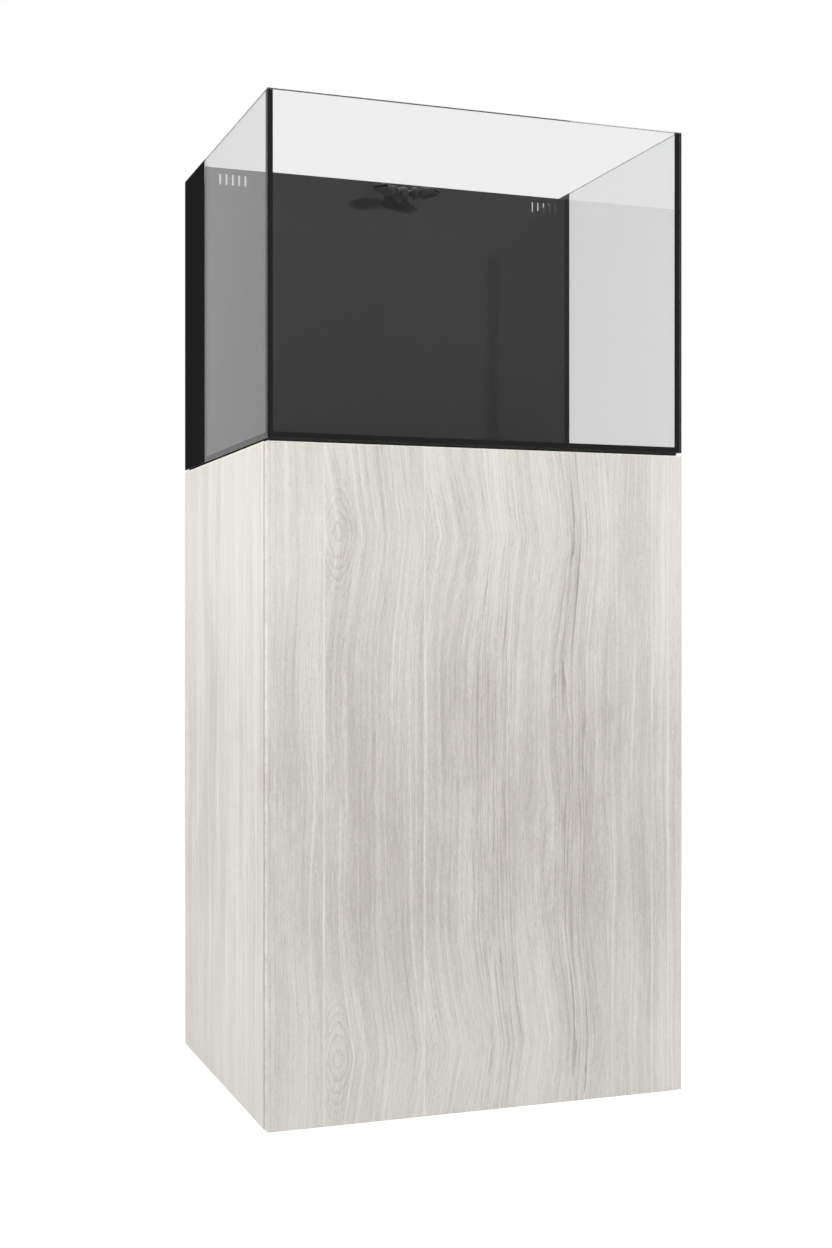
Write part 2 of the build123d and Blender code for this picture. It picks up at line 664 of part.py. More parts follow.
def ribbed_socket(ball_r):
    """Socket round a ball at the origin, open towards -Z, with three grip ribs and a shoulder."""
    outer = ball_r + SOCKET_WALL
    mouth = -ball_r / 2
    shell = Pos(0, 0, mouth) * Cylinder(outer, ball_r, align=BASE)
    for step in range(RIBS):
        height = mouth + ball_r * (RIB_START + RIB_PITCH * step)
        shell += Pos(0, 0, height) * Cylinder(outer + RIB_H, ball_r * RIB_W, align=BASE)
    shoulder = Cone(outer, ball_r * SHOULDER_R, ball_r * SHOULDER_L, align=BASE)
    return shell + Pos(0, 0, ball_r / 2) * shoulder


def hollow_socket(shape, ball_r, length):
    """Cut the ball's seat and the waterway from a socket piece."""
    shape -= Sphere(ball_r + BALL_GAP)
    return shape - Cylinder(ball_r * ARM_BORE_R, length, align=BASE)


def fan(root, width, height):
    """Loft from a nearly round section above the ball to the flat mouth of a flare."""
    return loft([
        Pos(0, 0, ARM_BALL_R / 2) * RectangleRounded(root, root, root * ROOT_CORNER),
        Pos(0, 0, FLARE_L) * RectangleRounded(width, height, height / 3),
    ])


def outlet(ball_y):
    """Y fitting, two elbows and two flat flares that turn on their balls."""
    forward = Plane(origin=(0, ball_y, OUTLET_Z), x_dir=(1, 0, 0), z_dir=(0, -1, 0))
    hub_l = OUTLET_BALL_R * HUB_L
    hub = ribbed_socket(OUTLET_BALL_R) + Pos(0, 0, hub_l) * Sphere(OUTLET_BALL_R)
    arm_l = OUTLET_BALL_R + ARM_BALL_R * ARM_REACH
    arms = {}
    for side in SIDES:
        arm = Pos(0, 0, hub_l) * Rot(0, side * ARM_SPREAD, 0)
        hub += arm * Cylinder(ARM_BALL_R * ARM_NECK_R, arm_l, align=BASE)
        hub += arm * Pos(0, 0, arm_l) * Sphere(ARM_BALL_R)
        arms[side] = arm
    hub -= Sphere(OUTLET_BALL_R + BALL_GAP)
    hub -= Cylinder(OUTLET_BALL_R * HUB_BORE_R, hub_l, align=BASE)
    for side in SIDES:
        hub -= arms[side] * Cylinder(ARM_BALL_R * ARM_BORE_R, arm_l + ARM_BALL_R, align=BASE)
    node("return_y_fitting", forward * hub)

    elbow_l = ARM_BALL_R * ELBOW_L
    elbow = ribbed_socket(ARM_BALL_R)
    elbow += Cylinder(ARM_BALL_R * ARM_NECK_R, elbow_l, align=BASE)
    elbow += Pos(0, 0, elbow_l) * Sphere(ARM_BALL_R)
    elbow = hollow_socket(elbow, ARM_BALL_R, elbow_l + ARM_BALL_R)
    wall = 2 * FLARE_WALL
    root = 2 * (ARM_BALL_R + SOCKET_WALL)
    flare_outer = fan(root, FLARE_W, FLARE_H)
    throat = fan(ARM_BALL_R * THROAT_ROOT, FLARE_W - wall, FLARE_H - wall)
    flare = ribbed_socket(ARM_BALL_R) + flare_outer
    flare = hollow_socket(flare - throat, ARM_BALL_R, ARM_BALL_R)
    for side, word in zip(SIDES, ("left", "right")):
        elbow_at = forward * arms[side] * Pos(0, 0, arm_l) * Rot(0, side * ARM_BEND, 0)
        flare_at = elbow_at * Pos(0, 0, elbow_l) * Rot(0, side * ARM_BEND, 0)
        node(f"{word}_outlet_elbow", elbow_at * elbow)
        node(f"{word}_flare_nozzle", flare_at * flare)


# ---- Cabinet ----

def cam_places():
    """Side, Y and panel height of each cam fitting."""
    for side in SIDES:
        for y in (CARCASS_Y + CAM_INSET, BACK_Y - CAM_INSET):
            for z in (FLOOR_PANEL_Z, ROOF_PANEL_Z):
                yield side, y, z


def cam_bolt(side, y, z, gap):
    """Cam bolt from inside the side panel to the cam, larger by a gap where it is a cutter."""
    start = side * (PANEL_IN_X + CAM_BOLT_DEPTH)
    length = CAM_BOLT_DEPTH + CAM_FROM_END - CAM_R - CAM_BOLT_SHORT
    return rod(CAM_BOLT_R + gap, length, (start, y, z + PANEL_T / 2), (-side, 0, 0))


def foot_places():
    """Name, X and Y of each levelling foot."""
    for side, word in zip(SIDES, ("left", "right")):
        yield f"front_{word}_foot", side * (HALF_W - FOOT_INSET), CARCASS_Y + FOOT_INSET
        yield f"back_{word}_foot", side * (HALF_W - FOOT_INSET), BACK_Y - FOOT_INSET


def carcass():
    """Cabinet box: two sides, floor and roof panels, and a back panel with its openings."""
    side_y = (CARCASS_Y, BACK_Y)
    sides = {}
    for side in SIDES:
        sides[side] = slab(ordered(side, (PANEL_IN_X, HALF_W)), side_y, (FOOT_LIFT, CABINET_TOP))
    inside_x = (-PANEL_IN_X, PANEL_IN_X)
    floor_panel = slab(inside_x, side_y, (FLOOR_PANEL_Z, FLOOR_PANEL_Z + PANEL_T))
    roof_panel = slab(inside_x, side_y, (ROOF_PANEL_Z, CABINET_TOP))
    cams = []
    bolts = []
    for side, y, z in cam_places():
        hole = cam_bolt(side, y, z, JOINERY_GAP)
        cam_at = (side * (PANEL_IN_X - CAM_FROM_END), y, z)
        pocket = rod(CAM_R + JOINERY_GAP, CAM_L, cam_at, (0, 0, 1))
        sides[side] -= hole
        if z == FLOOR_PANEL_Z:
            floor_panel -= hole + pocket
        else:
            roof_panel -= hole + pocket
        recess = slab(
            (cam_at[0] - CAM_RECESS_L / 2, cam_at[0] + CAM_RECESS_L / 2),
            (y - CAM_RECESS_W / 2, y + CAM_RECESS_W / 2),
            (z, z + CAM_RECESS_DEPTH),
        )
        cams.append(rod(CAM_R, CAM_L, cam_at, (0, 0, 1)) - recess)
        bolts.append(cam_bolt(side, y, z, 0.0))
    for _, x, y in foot_places():
        floor_panel -= rod(INSERT_R, PANEL_T, (x, y, FLOOR_PANEL_Z), (0, 0, 1))
        floor_panel -= rod(INSERT_FLANGE_R, INSERT_FLANGE_T, (x, y, FLOOR_PANEL_Z), (0, 0, 1))
    node("left_side_panel", sides[-1])
    node("right_side_panel", sides[1])
    node("floor_panel", floor_panel)
    node("roof_panel", roof_panel)
    node("cam_locks", *cams)
    node("cam_bolts", *bolts)

    back_y = (BACK_Y - BACK_T, BACK_Y)
    back = slab(inside_x, back_y, (FLOOR_PANEL_Z + PANEL_T, ROOF_PANEL_Z))
    hole_z = ROOF_PANEL_Z - CABLE_HOLE_DROP
    grommets = []
    for side in SIDES:
        centre = (side * CABLE_HOLE_X, back_y[0], hole_z)
        back -= rod(CABLE_HOLE_R, BACK_T, centre, (0, 1, 0))
        inner_face = (centre[0], back_y[0] - GROMMET_T, hole_z)
        ring = rod(CABLE_HOLE_R + GROMMET_LIP, GROMMET_T, inner_face, (0, 1, 0))
        ring += rod(CABLE_HOLE_R, BACK_T, centre, (0, 1, 0))
        ring -= rod(CABLE_HOLE_R - GROMMET_T, BACK_T + GROMMET_T, inner_face, (0, 1, 0))
        grommets.append(ring)
    vent_z = FLOOR_PANEL_Z + PANEL_T + VENT_H
    vent = slab((-VENT_W / 2, VENT_W / 2), back_y, (vent_z, vent_z + VENT_H))
    back -= fillet(vent.edges().filter_by(Axis.Y), VENT_CORNER_R)
    node("back_panel", back)
    node("cable_grommets", *grommets)


def levelling_feet():
    """Four screw feet and their threaded inserts in the floor panel."""
    inserts = []
    for name, x, y in foot_places():
        foot = rod(FOOT_R, FOOT_LIFT, (x, y, 0), (0, 0, 1))
        foot += rod(FOOT_SCREW_R, FOOT_SCREW_L, (x, y, FOOT_LIFT), (0, 0, 1))
        socket = Pos(x, y, FOOT_LIFT + FOOT_SCREW_L - FOOT_KEY_DEPTH)
        foot -= extrude(socket * RegularPolygon(FOOT_KEY_R, 6), amount=FOOT_KEY_DEPTH)
        node(name, foot)
        insert = rod(INSERT_R, PANEL_T, (x, y, FLOOR_PANEL_Z), (0, 0, 1))
        insert += rod(INSERT_FLANGE_R, INSERT_FLANGE_T, (x, y, FLOOR_PANEL_Z), (0, 0, 1))
        insert -= rod(FOOT_SCREW_R + SHAFT_GAP, PANEL_T, (x, y, FLOOR_PANEL_Z), (0, 0, 1))
        inserts.append(insert)
    node("foot_inserts", *inserts)


def door():
    """Handleless full-overlay door with three cup bores in its back."""
    leaf = slab((-HALF_W, HALF_W), (FRONT_Y, DOOR_BACK), (DOOR_Z, DOOR_TOP))
    leaf = fillet(leaf.edges(), DOOR_EDGE_R)
    for z in HINGE_Z:
        leaf -= rod(CUP_R + JOINERY_GAP, CUP_DEPTH, (CUP_X, DOOR_BACK, z), (0, -1, 0))
    node("door", leaf)


def link_bar(z, start, knee, end):
    """Bent strip from the arm's pin to the cup's pin, with an eye round each."""
    low = z - LINK_W / 2
    bar = None
    for first, second in ((start, knee), (knee, end)):
        span = Vector(*second) - Vector(*first)
        middle = (Vector(*first) + Vector(*second)) * 0.5
        angle = math.degrees(math.atan2(span.Y, span.X))
        piece = Pos(middle.X, middle.Y, low) * Rot(0, 0, angle)
        piece = piece * Box(span.length + LINK_T / 2, LINK_T, LINK_W, align=BASE)
        bar = piece if bar is None else bar + piece
    for place in (start, end):
        bar += rod(LINK_PIN_R + LINK_EYE_WALL, LINK_W, (*place, low), (0, 0, 1))
    for place in (start, end):
        bar -= rod(LINK_PIN_R + SHAFT_GAP, LINK_W, (*place, low), (0, 0, 1))
    return bar


def hinges():
    """Three concealed hinges: cups and their pins on the door, arms and plates on the side."""
    cups = []
    cup_pins = []
    links = []
    arms = []
    plates = []
    cup_screws = []
    plate_screws = []
    for z in HINGE_Z:
        cup = rod(CUP_R, CUP_DEPTH, (CUP_X, DOOR_BACK, z), (0, -1, 0))
        cup -= rod(CUP_R - CUP_WALL, CUP_DEPTH - CUP_WALL, (CUP_X, DOOR_BACK, z), (0, -1, 0))
        wing_x = (CUP_X - CUP_WING_IN, CUP_X + CUP_WING_OUT)
        wing_y = (DOOR_BACK, DOOR_BACK + CUP_FLANGE_T)
        for way in SIDES:
            low, high = ordered(way, (CUP_R - CUP_WING_ROOT, CUP_R + CUP_WING_L))
            cup += slab(wing_x, wing_y, (z + low, z + high))
            head_z = z + way * (CUP_R + CUP_SCREW_OUT)
            head = (CUP_X - CUP_SCREW_IN, DOOR_BACK + CUP_FLANGE_T, head_z)
            cup_screws.append(rod(CUP_SCREW_R, CUP_SCREW_T, head, (0, 1, 0)))
        pin_edge = CUP_PIN[0] - CUP_X + LINK_PIN_R
        reach = math.sqrt((CUP_R - CUP_WALL) ** 2 - pin_edge ** 2) + CUP_WALL / 2
        pin = rod(LINK_PIN_R, 2 * reach, (*CUP_PIN, z - reach), (0, 0, 1))
        cups.append(cup + pin)
        links.append(link_bar(z, ARM_PIN, LINK_KNEE, CUP_PIN))

        arm_low = z - ARM_W / 2
        arm_x = (ARM_PIN[0] - ARM_HALF_T, ARM_PIN[0] + ARM_HALF_T)
        plate_x = (PANEL_IN_X - PLATE_T, PANEL_IN_X)
        arm_y = (ARM_PIN[1], ARM_PIN[1] + ARM_L)
        arm = slab(arm_x, arm_y, (arm_low, arm_low + ARM_W))
        arm += rod(ARM_HALF_T, ARM_W, (*ARM_PIN, arm_low), (0, 0, 1))
        slot_half = LINK_W / 2 + LINK_GAP
        slot_y = (ARM_PIN[1] - ARM_SLOT_FRONT, ARM_PIN[1] + ARM_SLOT_BACK)
        arm -= slab(arm_x, slot_y, (z - slot_half, z + slot_half))
        arms.append(arm + rod(LINK_PIN_R, ARM_W, (*ARM_PIN, arm_low), (0, 0, 1)))
        plate_y = (arm_y[1] - PLATE_L, arm_y[1] + PLATE_OVERHANG)
        plate = slab(plate_x, plate_y, (arm_low, arm_low + ARM_W))
        plate_mid = (plate_y[0] + plate_y[1]) / 2
        plate += slab(
            (PANEL_IN_X - PLATE_WING_T, PANEL_IN_X),
            (plate_mid - PLATE_WING_W / 2, plate_mid + PLATE_WING_W / 2),
            (z - PLATE_H / 2, z + PLATE_H / 2),
        )
        plate -= slab(arm_x, plate_y, (arm_low - OVERLAP, arm_low + ARM_W + OVERLAP))
        plates.append(plate)
        for way in SIDES:
            head_z = z + way * (PLATE_H / 2 - PLATE_SCREW_INSET)
            head = (PANEL_IN_X - PLATE_WING_T, plate_mid, head_z)
            plate_screws.append(rod(PLATE_SCREW_R, PLATE_SCREW_T, head, (-1, 0, 0)))
    node("hinge_cups", *cups)
    node("hinge_links", *links)
    node("hinge_arms", *arms)
    node("hinge_plates", *plates)
    node("cup_screws", *cup_screws)
    node("plate_screws", *plate_screws)


def push_latch():
    """Push-to-open latch under the roof panel: housing, sprung plunger and a strike on the door."""
    x = -PANEL_IN_X + LATCH_FROM_SIDE
    z = ROOF_PANEL_Z - LATCH_H / 2
    front = CARCASS_Y + LATCH_SETBACK
    tip = DOOR_BACK + STRIKE_T + LINK_GAP
    housing = slab(
        (x - LATCH_W / 2, x + LATCH_W / 2),
        (front, front + LATCH_L),
        (ROOF_PANEL_Z - LATCH_H, ROOF_PANEL_Z),
    )
    bore_l = LATCH_L - LATCH_END_WALL
    housing -= rod(PLUNGER_R + LINK_GAP, bore_l, (x, front, z), (0, 1, 0))
    node("latch_housing", housing)
    plunger_l = front - tip + PLUNGER_HELD_L
    plunger = rod(PLUNGER_R, plunger_l, (x, tip, z), (0, 1, 0))
    node("latch_plunger", chamfer(plunger.edges(), PLUNGER_EASE))
    spring_start = tip + plunger_l + LINK_GAP + LATCH_TRAVEL
    spring_l = front + bore_l - spring_start
    spring_at = (x, spring_start, z)
    spring = tube(SPRING_R, SPRING_R - SPRING_WALL, spring_l, spring_at, (0, 1, 0))
    node("latch_spring", spring)
    node("latch_strike", rod(STRIKE_R, STRIKE_T, (x, DOOR_BACK, z), (0, 1, 0)))


def main():
    """Build every node and write one STEP file for each."""
    tank_panes()
    tank_seams()
    rear_film()
    levelling_mat()
    partition()
    baffles()
    node("chamber_ledges", *sock_holders(), *sponges())
    pump()
    return_hose()
    outlet(bulkhead())
    carcass()
    levelling_feet()
    door()
    hinges()
    push_latch()
    os.makedirs("parts", exist_ok=True)
    for name, solids in NODES.items():
        shape = solids[0] if len(solids) == 1 else Compound(solids)
        export_step(shape, os.path.join("parts", f"{name}.step"))
    print(len(NODES), "nodes written")


main()
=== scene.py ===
"""A rimless all-in-one aquarium on a handleless laminate cabinet: finishes, soft pieces and studio.

Lengths are in metres, except those of the oak print, which are in millimetres. The front faces -Y
and the floor is at Z = 0.
"""
import logging
import math
from dataclasses import dataclass
from enum import Enum
from typing import Callable, Iterable, Optional, Sequence, Union

import bmesh
import bpy
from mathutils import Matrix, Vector, noise


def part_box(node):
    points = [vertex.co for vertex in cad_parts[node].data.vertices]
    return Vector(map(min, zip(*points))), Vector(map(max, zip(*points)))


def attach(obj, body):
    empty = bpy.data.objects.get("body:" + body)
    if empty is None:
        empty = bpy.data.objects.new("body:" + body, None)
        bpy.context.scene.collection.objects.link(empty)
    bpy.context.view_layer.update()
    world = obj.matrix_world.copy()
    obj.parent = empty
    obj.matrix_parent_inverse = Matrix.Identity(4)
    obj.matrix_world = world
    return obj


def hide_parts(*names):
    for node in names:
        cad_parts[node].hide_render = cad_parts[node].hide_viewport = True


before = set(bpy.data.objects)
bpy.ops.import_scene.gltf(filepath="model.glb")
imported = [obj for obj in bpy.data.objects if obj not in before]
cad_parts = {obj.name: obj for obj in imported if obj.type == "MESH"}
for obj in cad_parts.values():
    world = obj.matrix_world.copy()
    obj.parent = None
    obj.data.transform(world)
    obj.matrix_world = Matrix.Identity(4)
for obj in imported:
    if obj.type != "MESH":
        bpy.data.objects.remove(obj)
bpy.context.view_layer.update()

LOG = logging.getLogger("aquarium")
MM = 1000.0
Colour = tuple[float, float, float]
Number = Union[int, float]
Socket = bpy.types.NodeSocket
Paint = Union[Colour, Socket]
Mesh = bmesh.types.BMesh
Point = bmesh.types.BMVert
Piece = bpy.types.Object


def linear(red: int, green: int, blue: int) -> Colour:
    """Turn an 8-bit screen colour into the linear colour that shaders use.

    Args:
        red: Red, 0 to 255.
        green: Green, 0 to 255.
        blue: Blue, 0 to 255.

    Returns:
        The three linear channels.
    """
    def channel(level: int) -> float:
        """Undo the screen curve of one channel."""
        share = level / 255.0
        return share / 12.92 if share <= 0.04045 else ((share + 0.055) / 1.055) ** 2.4

    return channel(red), channel(green), channel(blue)


def scaled(colour: Colour, share: float) -> Colour:
    """A colour made lighter or darker by a share."""
    return tuple(channel * share for channel in colour)


class Side(Enum):
    """Left and right as seen from the front."""

    LEFT = -1
    RIGHT = 1

    @property
    def word(self) -> str:
        """The side's name in lower case, as node and body names start."""
        return self.name.lower()


class Axis(Enum):
    """A coordinate axis by its index."""

    X = 0
    Y = 1
    Z = 2


# ---- Shader expressions ----

class Level:
    """A float socket on which shader maths is written as Python expressions."""

    def __init__(self, tree: "Tree", socket: Socket) -> None:
        """Keep the socket and the tree that it belongs to."""
        self.tree = tree
        self.socket = socket

    def maths(self, operation: str, *others: Union["Level", Number]) -> "Level":
        """Add a Math node with this level as its first value.

        Args:
            operation: The Math node's operation.
            others: The second and third values.

        Returns:
            The node's result.
        """
        values = {index: item for index, item in enumerate((self, *others))}
        made = self.tree.add("ShaderNodeMath", {"operation": operation}, values)
        return Level(self.tree, made.outputs[0])

    def __add__(self, other: Union["Level", Number]) -> "Level":
        """Sum."""
        return self.maths("ADD", other)

    __radd__ = __add__

    def __sub__(self, other: Union["Level", Number]) -> "Level":
        """Difference."""
        return self.maths("SUBTRACT", other)

    def __rsub__(self, other: Number) -> "Level":
        """A number less this level."""
        return self.maths("MULTIPLY_ADD", -1.0, other)

    def __mul__(self, other: Union["Level", Number]) -> "Level":
        """Product."""
        return self.maths("MULTIPLY", other)

    __rmul__ = __mul__

    def __truediv__(self, other: Union["Level", Number]) -> "Level":
        """Quotient."""
        return self.maths("DIVIDE", other)

    def __pow__(self, other: Union["Level", Number]) -> "Level":
        """Power."""
        return self.maths("POWER", other)

    def __abs__(self) -> "Level":
        """Size without sign."""
        return self.maths("ABSOLUTE")

    def __gt__(self, other: Union["Level", Number]) -> "Level":
        """1 where this level is above the other, else 0."""
        return self.maths("GREATER_THAN", other)

    def fraction(self) -> "Level":
        """What is left above the last whole number."""
        return self.maths("FRACT")

    def folded(self, length: float) -> "Level":
        """Run up and down between 0 and a length."""
        return self.maths("PINGPONG", length)

    def ramp(self, low: Number, high: Number, start: Number = 0.0,
             end: Number = 1.0) -> "Level":
        """Ease from one value to another as this level crosses a stretch.

        Args:
            low: Where the change starts.
            high: Where it ends.
            start: The result below the stretch.
            end: The result above it.

        Returns:
            The eased level.
        """
        settings = {"interpolation_type": "SMOOTHSTEP"}
        values = {0: self, 1: low, 2: high, 3: start, 4: end}
        return Level(self.tree, self.tree.add("ShaderNodeMapRange", settings, values).outputs[0])


Amount = Union[Level, Number]


class Tree:
    """The node tree of one material or of the world, with one method that adds any node."""

    def __init__(self, owner: Union[bpy.types.Material, bpy.types.World]) -> None:
        """Start an empty tree.

        Args:
            owner: The material or world that it belongs to.
        """
        owner.use_nodes = True
        self.nodes = owner.node_tree.nodes
        self.links = owner.node_tree.links
        self.nodes.clear()

    def add(self, kind: str, settings: Optional[dict] = None,
            values: Optional[dict] = None) -> bpy.types.Node:
        """Add a node.

        Args:
            kind: Its node type.
            settings: Its properties, set first.
            values: Numbers, colours or links of its sockets, by name or index.

        Returns:
            The node.
        """
        made = self.nodes.new(kind)
        for name, setting in (settings or {}).items():
            setattr(made, name, setting)
        for key, value in (values or {}).items():
            source = value.socket if isinstance(value, Level) else value
            if isinstance(source, Socket):
                self.links.new(source, made.inputs[key])
            else:
                made.inputs[key].default_value = source
        return made

    def axes(self, output: str) -> tuple[Level, Level, Level]:
        """Split one output of a Texture Coordinate node.

        Args:
            output: The output's name.

        Returns:
            Its X, Y and Z.
        """
        where = self.add("ShaderNodeTexCoord").outputs[output]
        split = self.add("ShaderNodeSeparateXYZ", values={0: where})
        return tuple(Level(self, out) for out in split.outputs)

    def place(self) -> tuple[Level, Level, Level]:
        """Coordinates on the object, which move with its body."""
        return self.axes("Object")

    def facing(self) -> tuple[Level, Level, Level]:
        """The surface's direction on the object, axis by axis."""
        return self.axes("Normal")

    def joined(self, x: Amount, y: Amount, z: Amount) -> Socket:
        """A vector from three levels."""
        return self.add("ShaderNodeCombineXYZ", values={0: x, 1: y, 2: z}).outputs[0]

    def cloud(self, at: Socket, scale: float, detail: float = 2.0,
              rough: float = 0.5) -> Level:
        """Smooth noise.

        Args:
            at: The place to read it at.
            scale: Features per unit.
            detail: Octaves beyond the first.
            rough: How much each octave adds.

        Returns:
            A level round 0.5.
        """
        values = {"Vector": at, "Scale": scale, "Detail": detail, "Roughness": rough}
        return Level(self, self.add("ShaderNodeTexNoise", values=values).outputs[0])

    def cells(self, at: Socket, scale: float) -> Level:
        """Distance inside a pattern of cells."""
        made = self.add("ShaderNodeTexVoronoi", values={"Vector": at, "Scale": scale})
        return Level(self, made.outputs["Distance"])

    def blend(self, share: Amount, first: Paint, second: Paint) -> Socket:
        """Mix two colours.

        Args:
            share: How much of the second, 0 to 1.
            first: The first colour.
            second: The second colour.

        Returns:
            The mixed colour.
        """
        def colour(item: Paint) -> object:
            """Give a plain colour its alpha."""
            return item if isinstance(item, Socket) else (*item, 1.0)

        values = {0: share, 6: colour(first), 7: colour(second)}
        return self.add("ShaderNodeMix", {"data_type": "RGBA"}, values).outputs[2]

    def relief(self, height: Level, depth: float, strength: float) -> Socket:
        """A Bump normal from a height level and its depth in metres."""
        values = {"Strength": strength, "Distance": depth, "Height": height}
        return self.add("ShaderNodeBump", values=values).outputs[0]

    def principled(self, **sockets: object) -> Socket:
        """Add a Principled shader.

        Args:
            sockets: Values or links by socket name, with underscores for spaces.

        Returns:
            The shader.
        """
        values = {}
        for name, item in sockets.items():
            plain = isinstance(item, tuple) and len(item) == 3
            values[name.replace("_", " ")] = (*item, 1.0) if plain else item
        return self.add("ShaderNodeBsdfPrincipled", values=values).outputs[0]

    def stretched(self, rates: Sequence[float]) -> Socket:
        """The place on the object, scaled axis by axis."""
        return self.joined(*(axis * rate for axis, rate in zip(self.place(), rates)))

    def output(self, shader: Socket, kind: str = "ShaderNodeOutputMaterial") -> None:
        """Link a shader to the tree's output."""
        self.add(kind, values={0: shader})


# ---- Finishes ----

@dataclass(frozen=True)
class Finish:
    """A named finish that makes its own material."""

    name: str

    def shade(self, tree: Tree) -> Socket:
        """Build the shader; each finish has its own.

        Args:
            tree: The material's tree.

        Returns:
            The shader.
        """
        raise NotImplementedError

    def material(self) -> bpy.types.Material:
        """Make the finish's material once.

        Returns:
            The material.
        """
        made = bpy.data.materials.get(self.name)
        if made is None:
            made = bpy.data.materials.new(self.name)
            tree = Tree(made)
            tree.output(self.shade(tree))
        return made


@dataclass(frozen=True)
class FloatGlass(Finish):
    """Float glass with polished, darker edges and ground arrises, open to lamplight."""

    across: Axis = Axis.Y
    tint: Colour = (0.985, 0.99, 0.988)
    edge: Colour = (0.80, 0.84, 0.82)
    ground: Colour = (0.36, 0.39, 0.38)
    ior: float = 1.5
    passed: float = 0.92
    edge_rough: float = 0.03
    ground_rough: float = 0.22
    edge_turn: tuple[float, float] = (0.15, 0.5)
    arris_start: tuple[float, float] = (0.12, 0.25)
    arris_end: tuple[float, float] = (0.35, 0.6)
    grit_per_m: float = 900.0
    grit_depth: float = 0.0002

    def shade(self, tree: Tree) -> Socket:
        """Clear faces, and darker edges where the surface turns away from them.

        Args:
            tree: The material's tree.

        Returns:
            The shader.
        """
        turned = 1.0 - abs(tree.facing()[self.across.value])
        edge = turned.ramp(*self.edge_turn)
        arris = turned.ramp(*self.arris_start) - turned.ramp(*self.arris_end)
        grind = tree.cloud(tree.joined(*tree.place()), self.grit_per_m, 3.0, 0.6)
        glass = tree.principled(
            Base_Color=tree.blend(arris, tree.blend(edge, self.tint, self.edge), self.ground),
            Roughness=edge * self.edge_rough + arris * (self.ground_rough + 0.2 * grind),
            IOR=self.ior,
            Transmission_Weight=1.0,
            Normal=tree.relief(grind * arris, self.grit_depth, 0.5),
        )
        lamplight = tree.add("ShaderNodeLightPath").outputs["Is Shadow Ray"]
        passing = {0: (self.passed, self.passed, self.passed, 1.0)}
        clear = tree.add("ShaderNodeBsdfTransparent", values=passing).outputs[0]
        return tree.add("ShaderNodeMixShader", values={0: lamplight, 1: glass, 2: clear}).outputs[0]


@dataclass(frozen=True)
class Moulded(Finish):
    """Moulded or cast material: one colour with cloudy variation, fine texture and bump."""

    colour: Colour = (0.05, 0.05, 0.05)
    rough: float = 0.45
    rough_change: float = 0.12
    tone_change: float = 0.12
    grain: float = 1400.0
    depth: float = 0.00004
    coat: float = 0.0
    coat_rough: float = 0.12
    ior: float = 1.45
    clouds_per_m: float = 22.0

    def shade(self, tree: Tree) -> Socket:
        """Cloudy tone over the whole piece, fine grain in the relief and the gloss.

        Args:
            tree: The material's tree.

        Returns:
            The shader.
        """
        where = tree.joined(*tree.place())
        cloudy = tree.cloud(where, self.clouds_per_m, 3.0)
        fine = tree.cloud(where, self.grain, 2.0)
        lighter = scaled(self.colour, 1 + self.tone_change)
        darker = scaled(self.colour, 1 - self.tone_change)
        return tree.principled(
            Base_Color=tree.blend(cloudy.ramp(0.3, 0.7), darker, lighter),
            Roughness=self.rough + self.rough_change * (0.6 * fine + 0.4 * cloudy - 0.5),
            IOR=self.ior,
            Coat_Weight=self.coat,
            Coat_Roughness=self.coat_rough,
            Normal=tree.relief(fine, self.depth, 0.7),
        )


@dataclass(frozen=True)
class Tooled(Finish):
    """Silicone drawn along a joint: satin black with shallow ripples across its run."""

    colour: Colour = (0.026, 0.026, 0.0265)
    rough: float = 0.38
    ripple_run: tuple[float, float, float] = (1.0, 1.0, 0.35)
    ripples_per_m: float = 160.0
    skin_per_m: float = 700.0
    depth: float = 0.0003

    def shade(self, tree: Tree) -> Socket:
        """Long soft ripples from the tooling, and a slightly uneven gloss.

        Args:
            tree: The material's tree.

        Returns:
            The shader.
        """
        ripple = tree.cloud(tree.stretched(self.ripple_run), self.ripples_per_m, 2.0)
        skin = tree.cloud(tree.joined(*tree.place()), self.skin_per_m, 1.0)
        return tree.principled(
            Base_Color=tree.blend(ripple, self.colour, scaled(self.colour, 1.5)),
            Roughness=self.rough + 0.2 * ripple,
            IOR=1.41,
            Normal=tree.relief(ripple + 0.2 * skin, self.depth, 0.5),
        )


@dataclass(frozen=True)
class MattFilm(Finish):
    """Matt vinyl stuck to the glass, with faint squeegee strokes."""

    colour: Colour = (0.0055, 0.0055, 0.0057)
    rough: float = 0.80
    peel_per_m: float = 1100.0
    stroke_run: tuple[float, float, float] = (6.0, 6.0, 0.7)
    strokes_per_m: float = 5.0
    depth: float = 0.00005

    def shade(self, tree: Tree) -> Socket:
        """Orange peel and strokes that show only in the gloss and relief.

        Args:
            tree: The material's tree.

        Returns:
            The shader.
        """
        peel = tree.cloud(tree.joined(*tree.place()), self.peel_per_m, 2.0)
        stroke = tree.cloud(tree.stretched(self.stroke_run), self.strokes_per_m, 3.0)
        return tree.principled(
            Base_Color=tree.blend(stroke, self.colour, scaled(self.colour, 1.25)),
            Roughness=self.rough + 0.12 * stroke,
            IOR=1.3,
            Specular_IOR_Level=0.08,
            Normal=tree.relief(peel + 0.3 * stroke, self.depth, 0.5),
        )


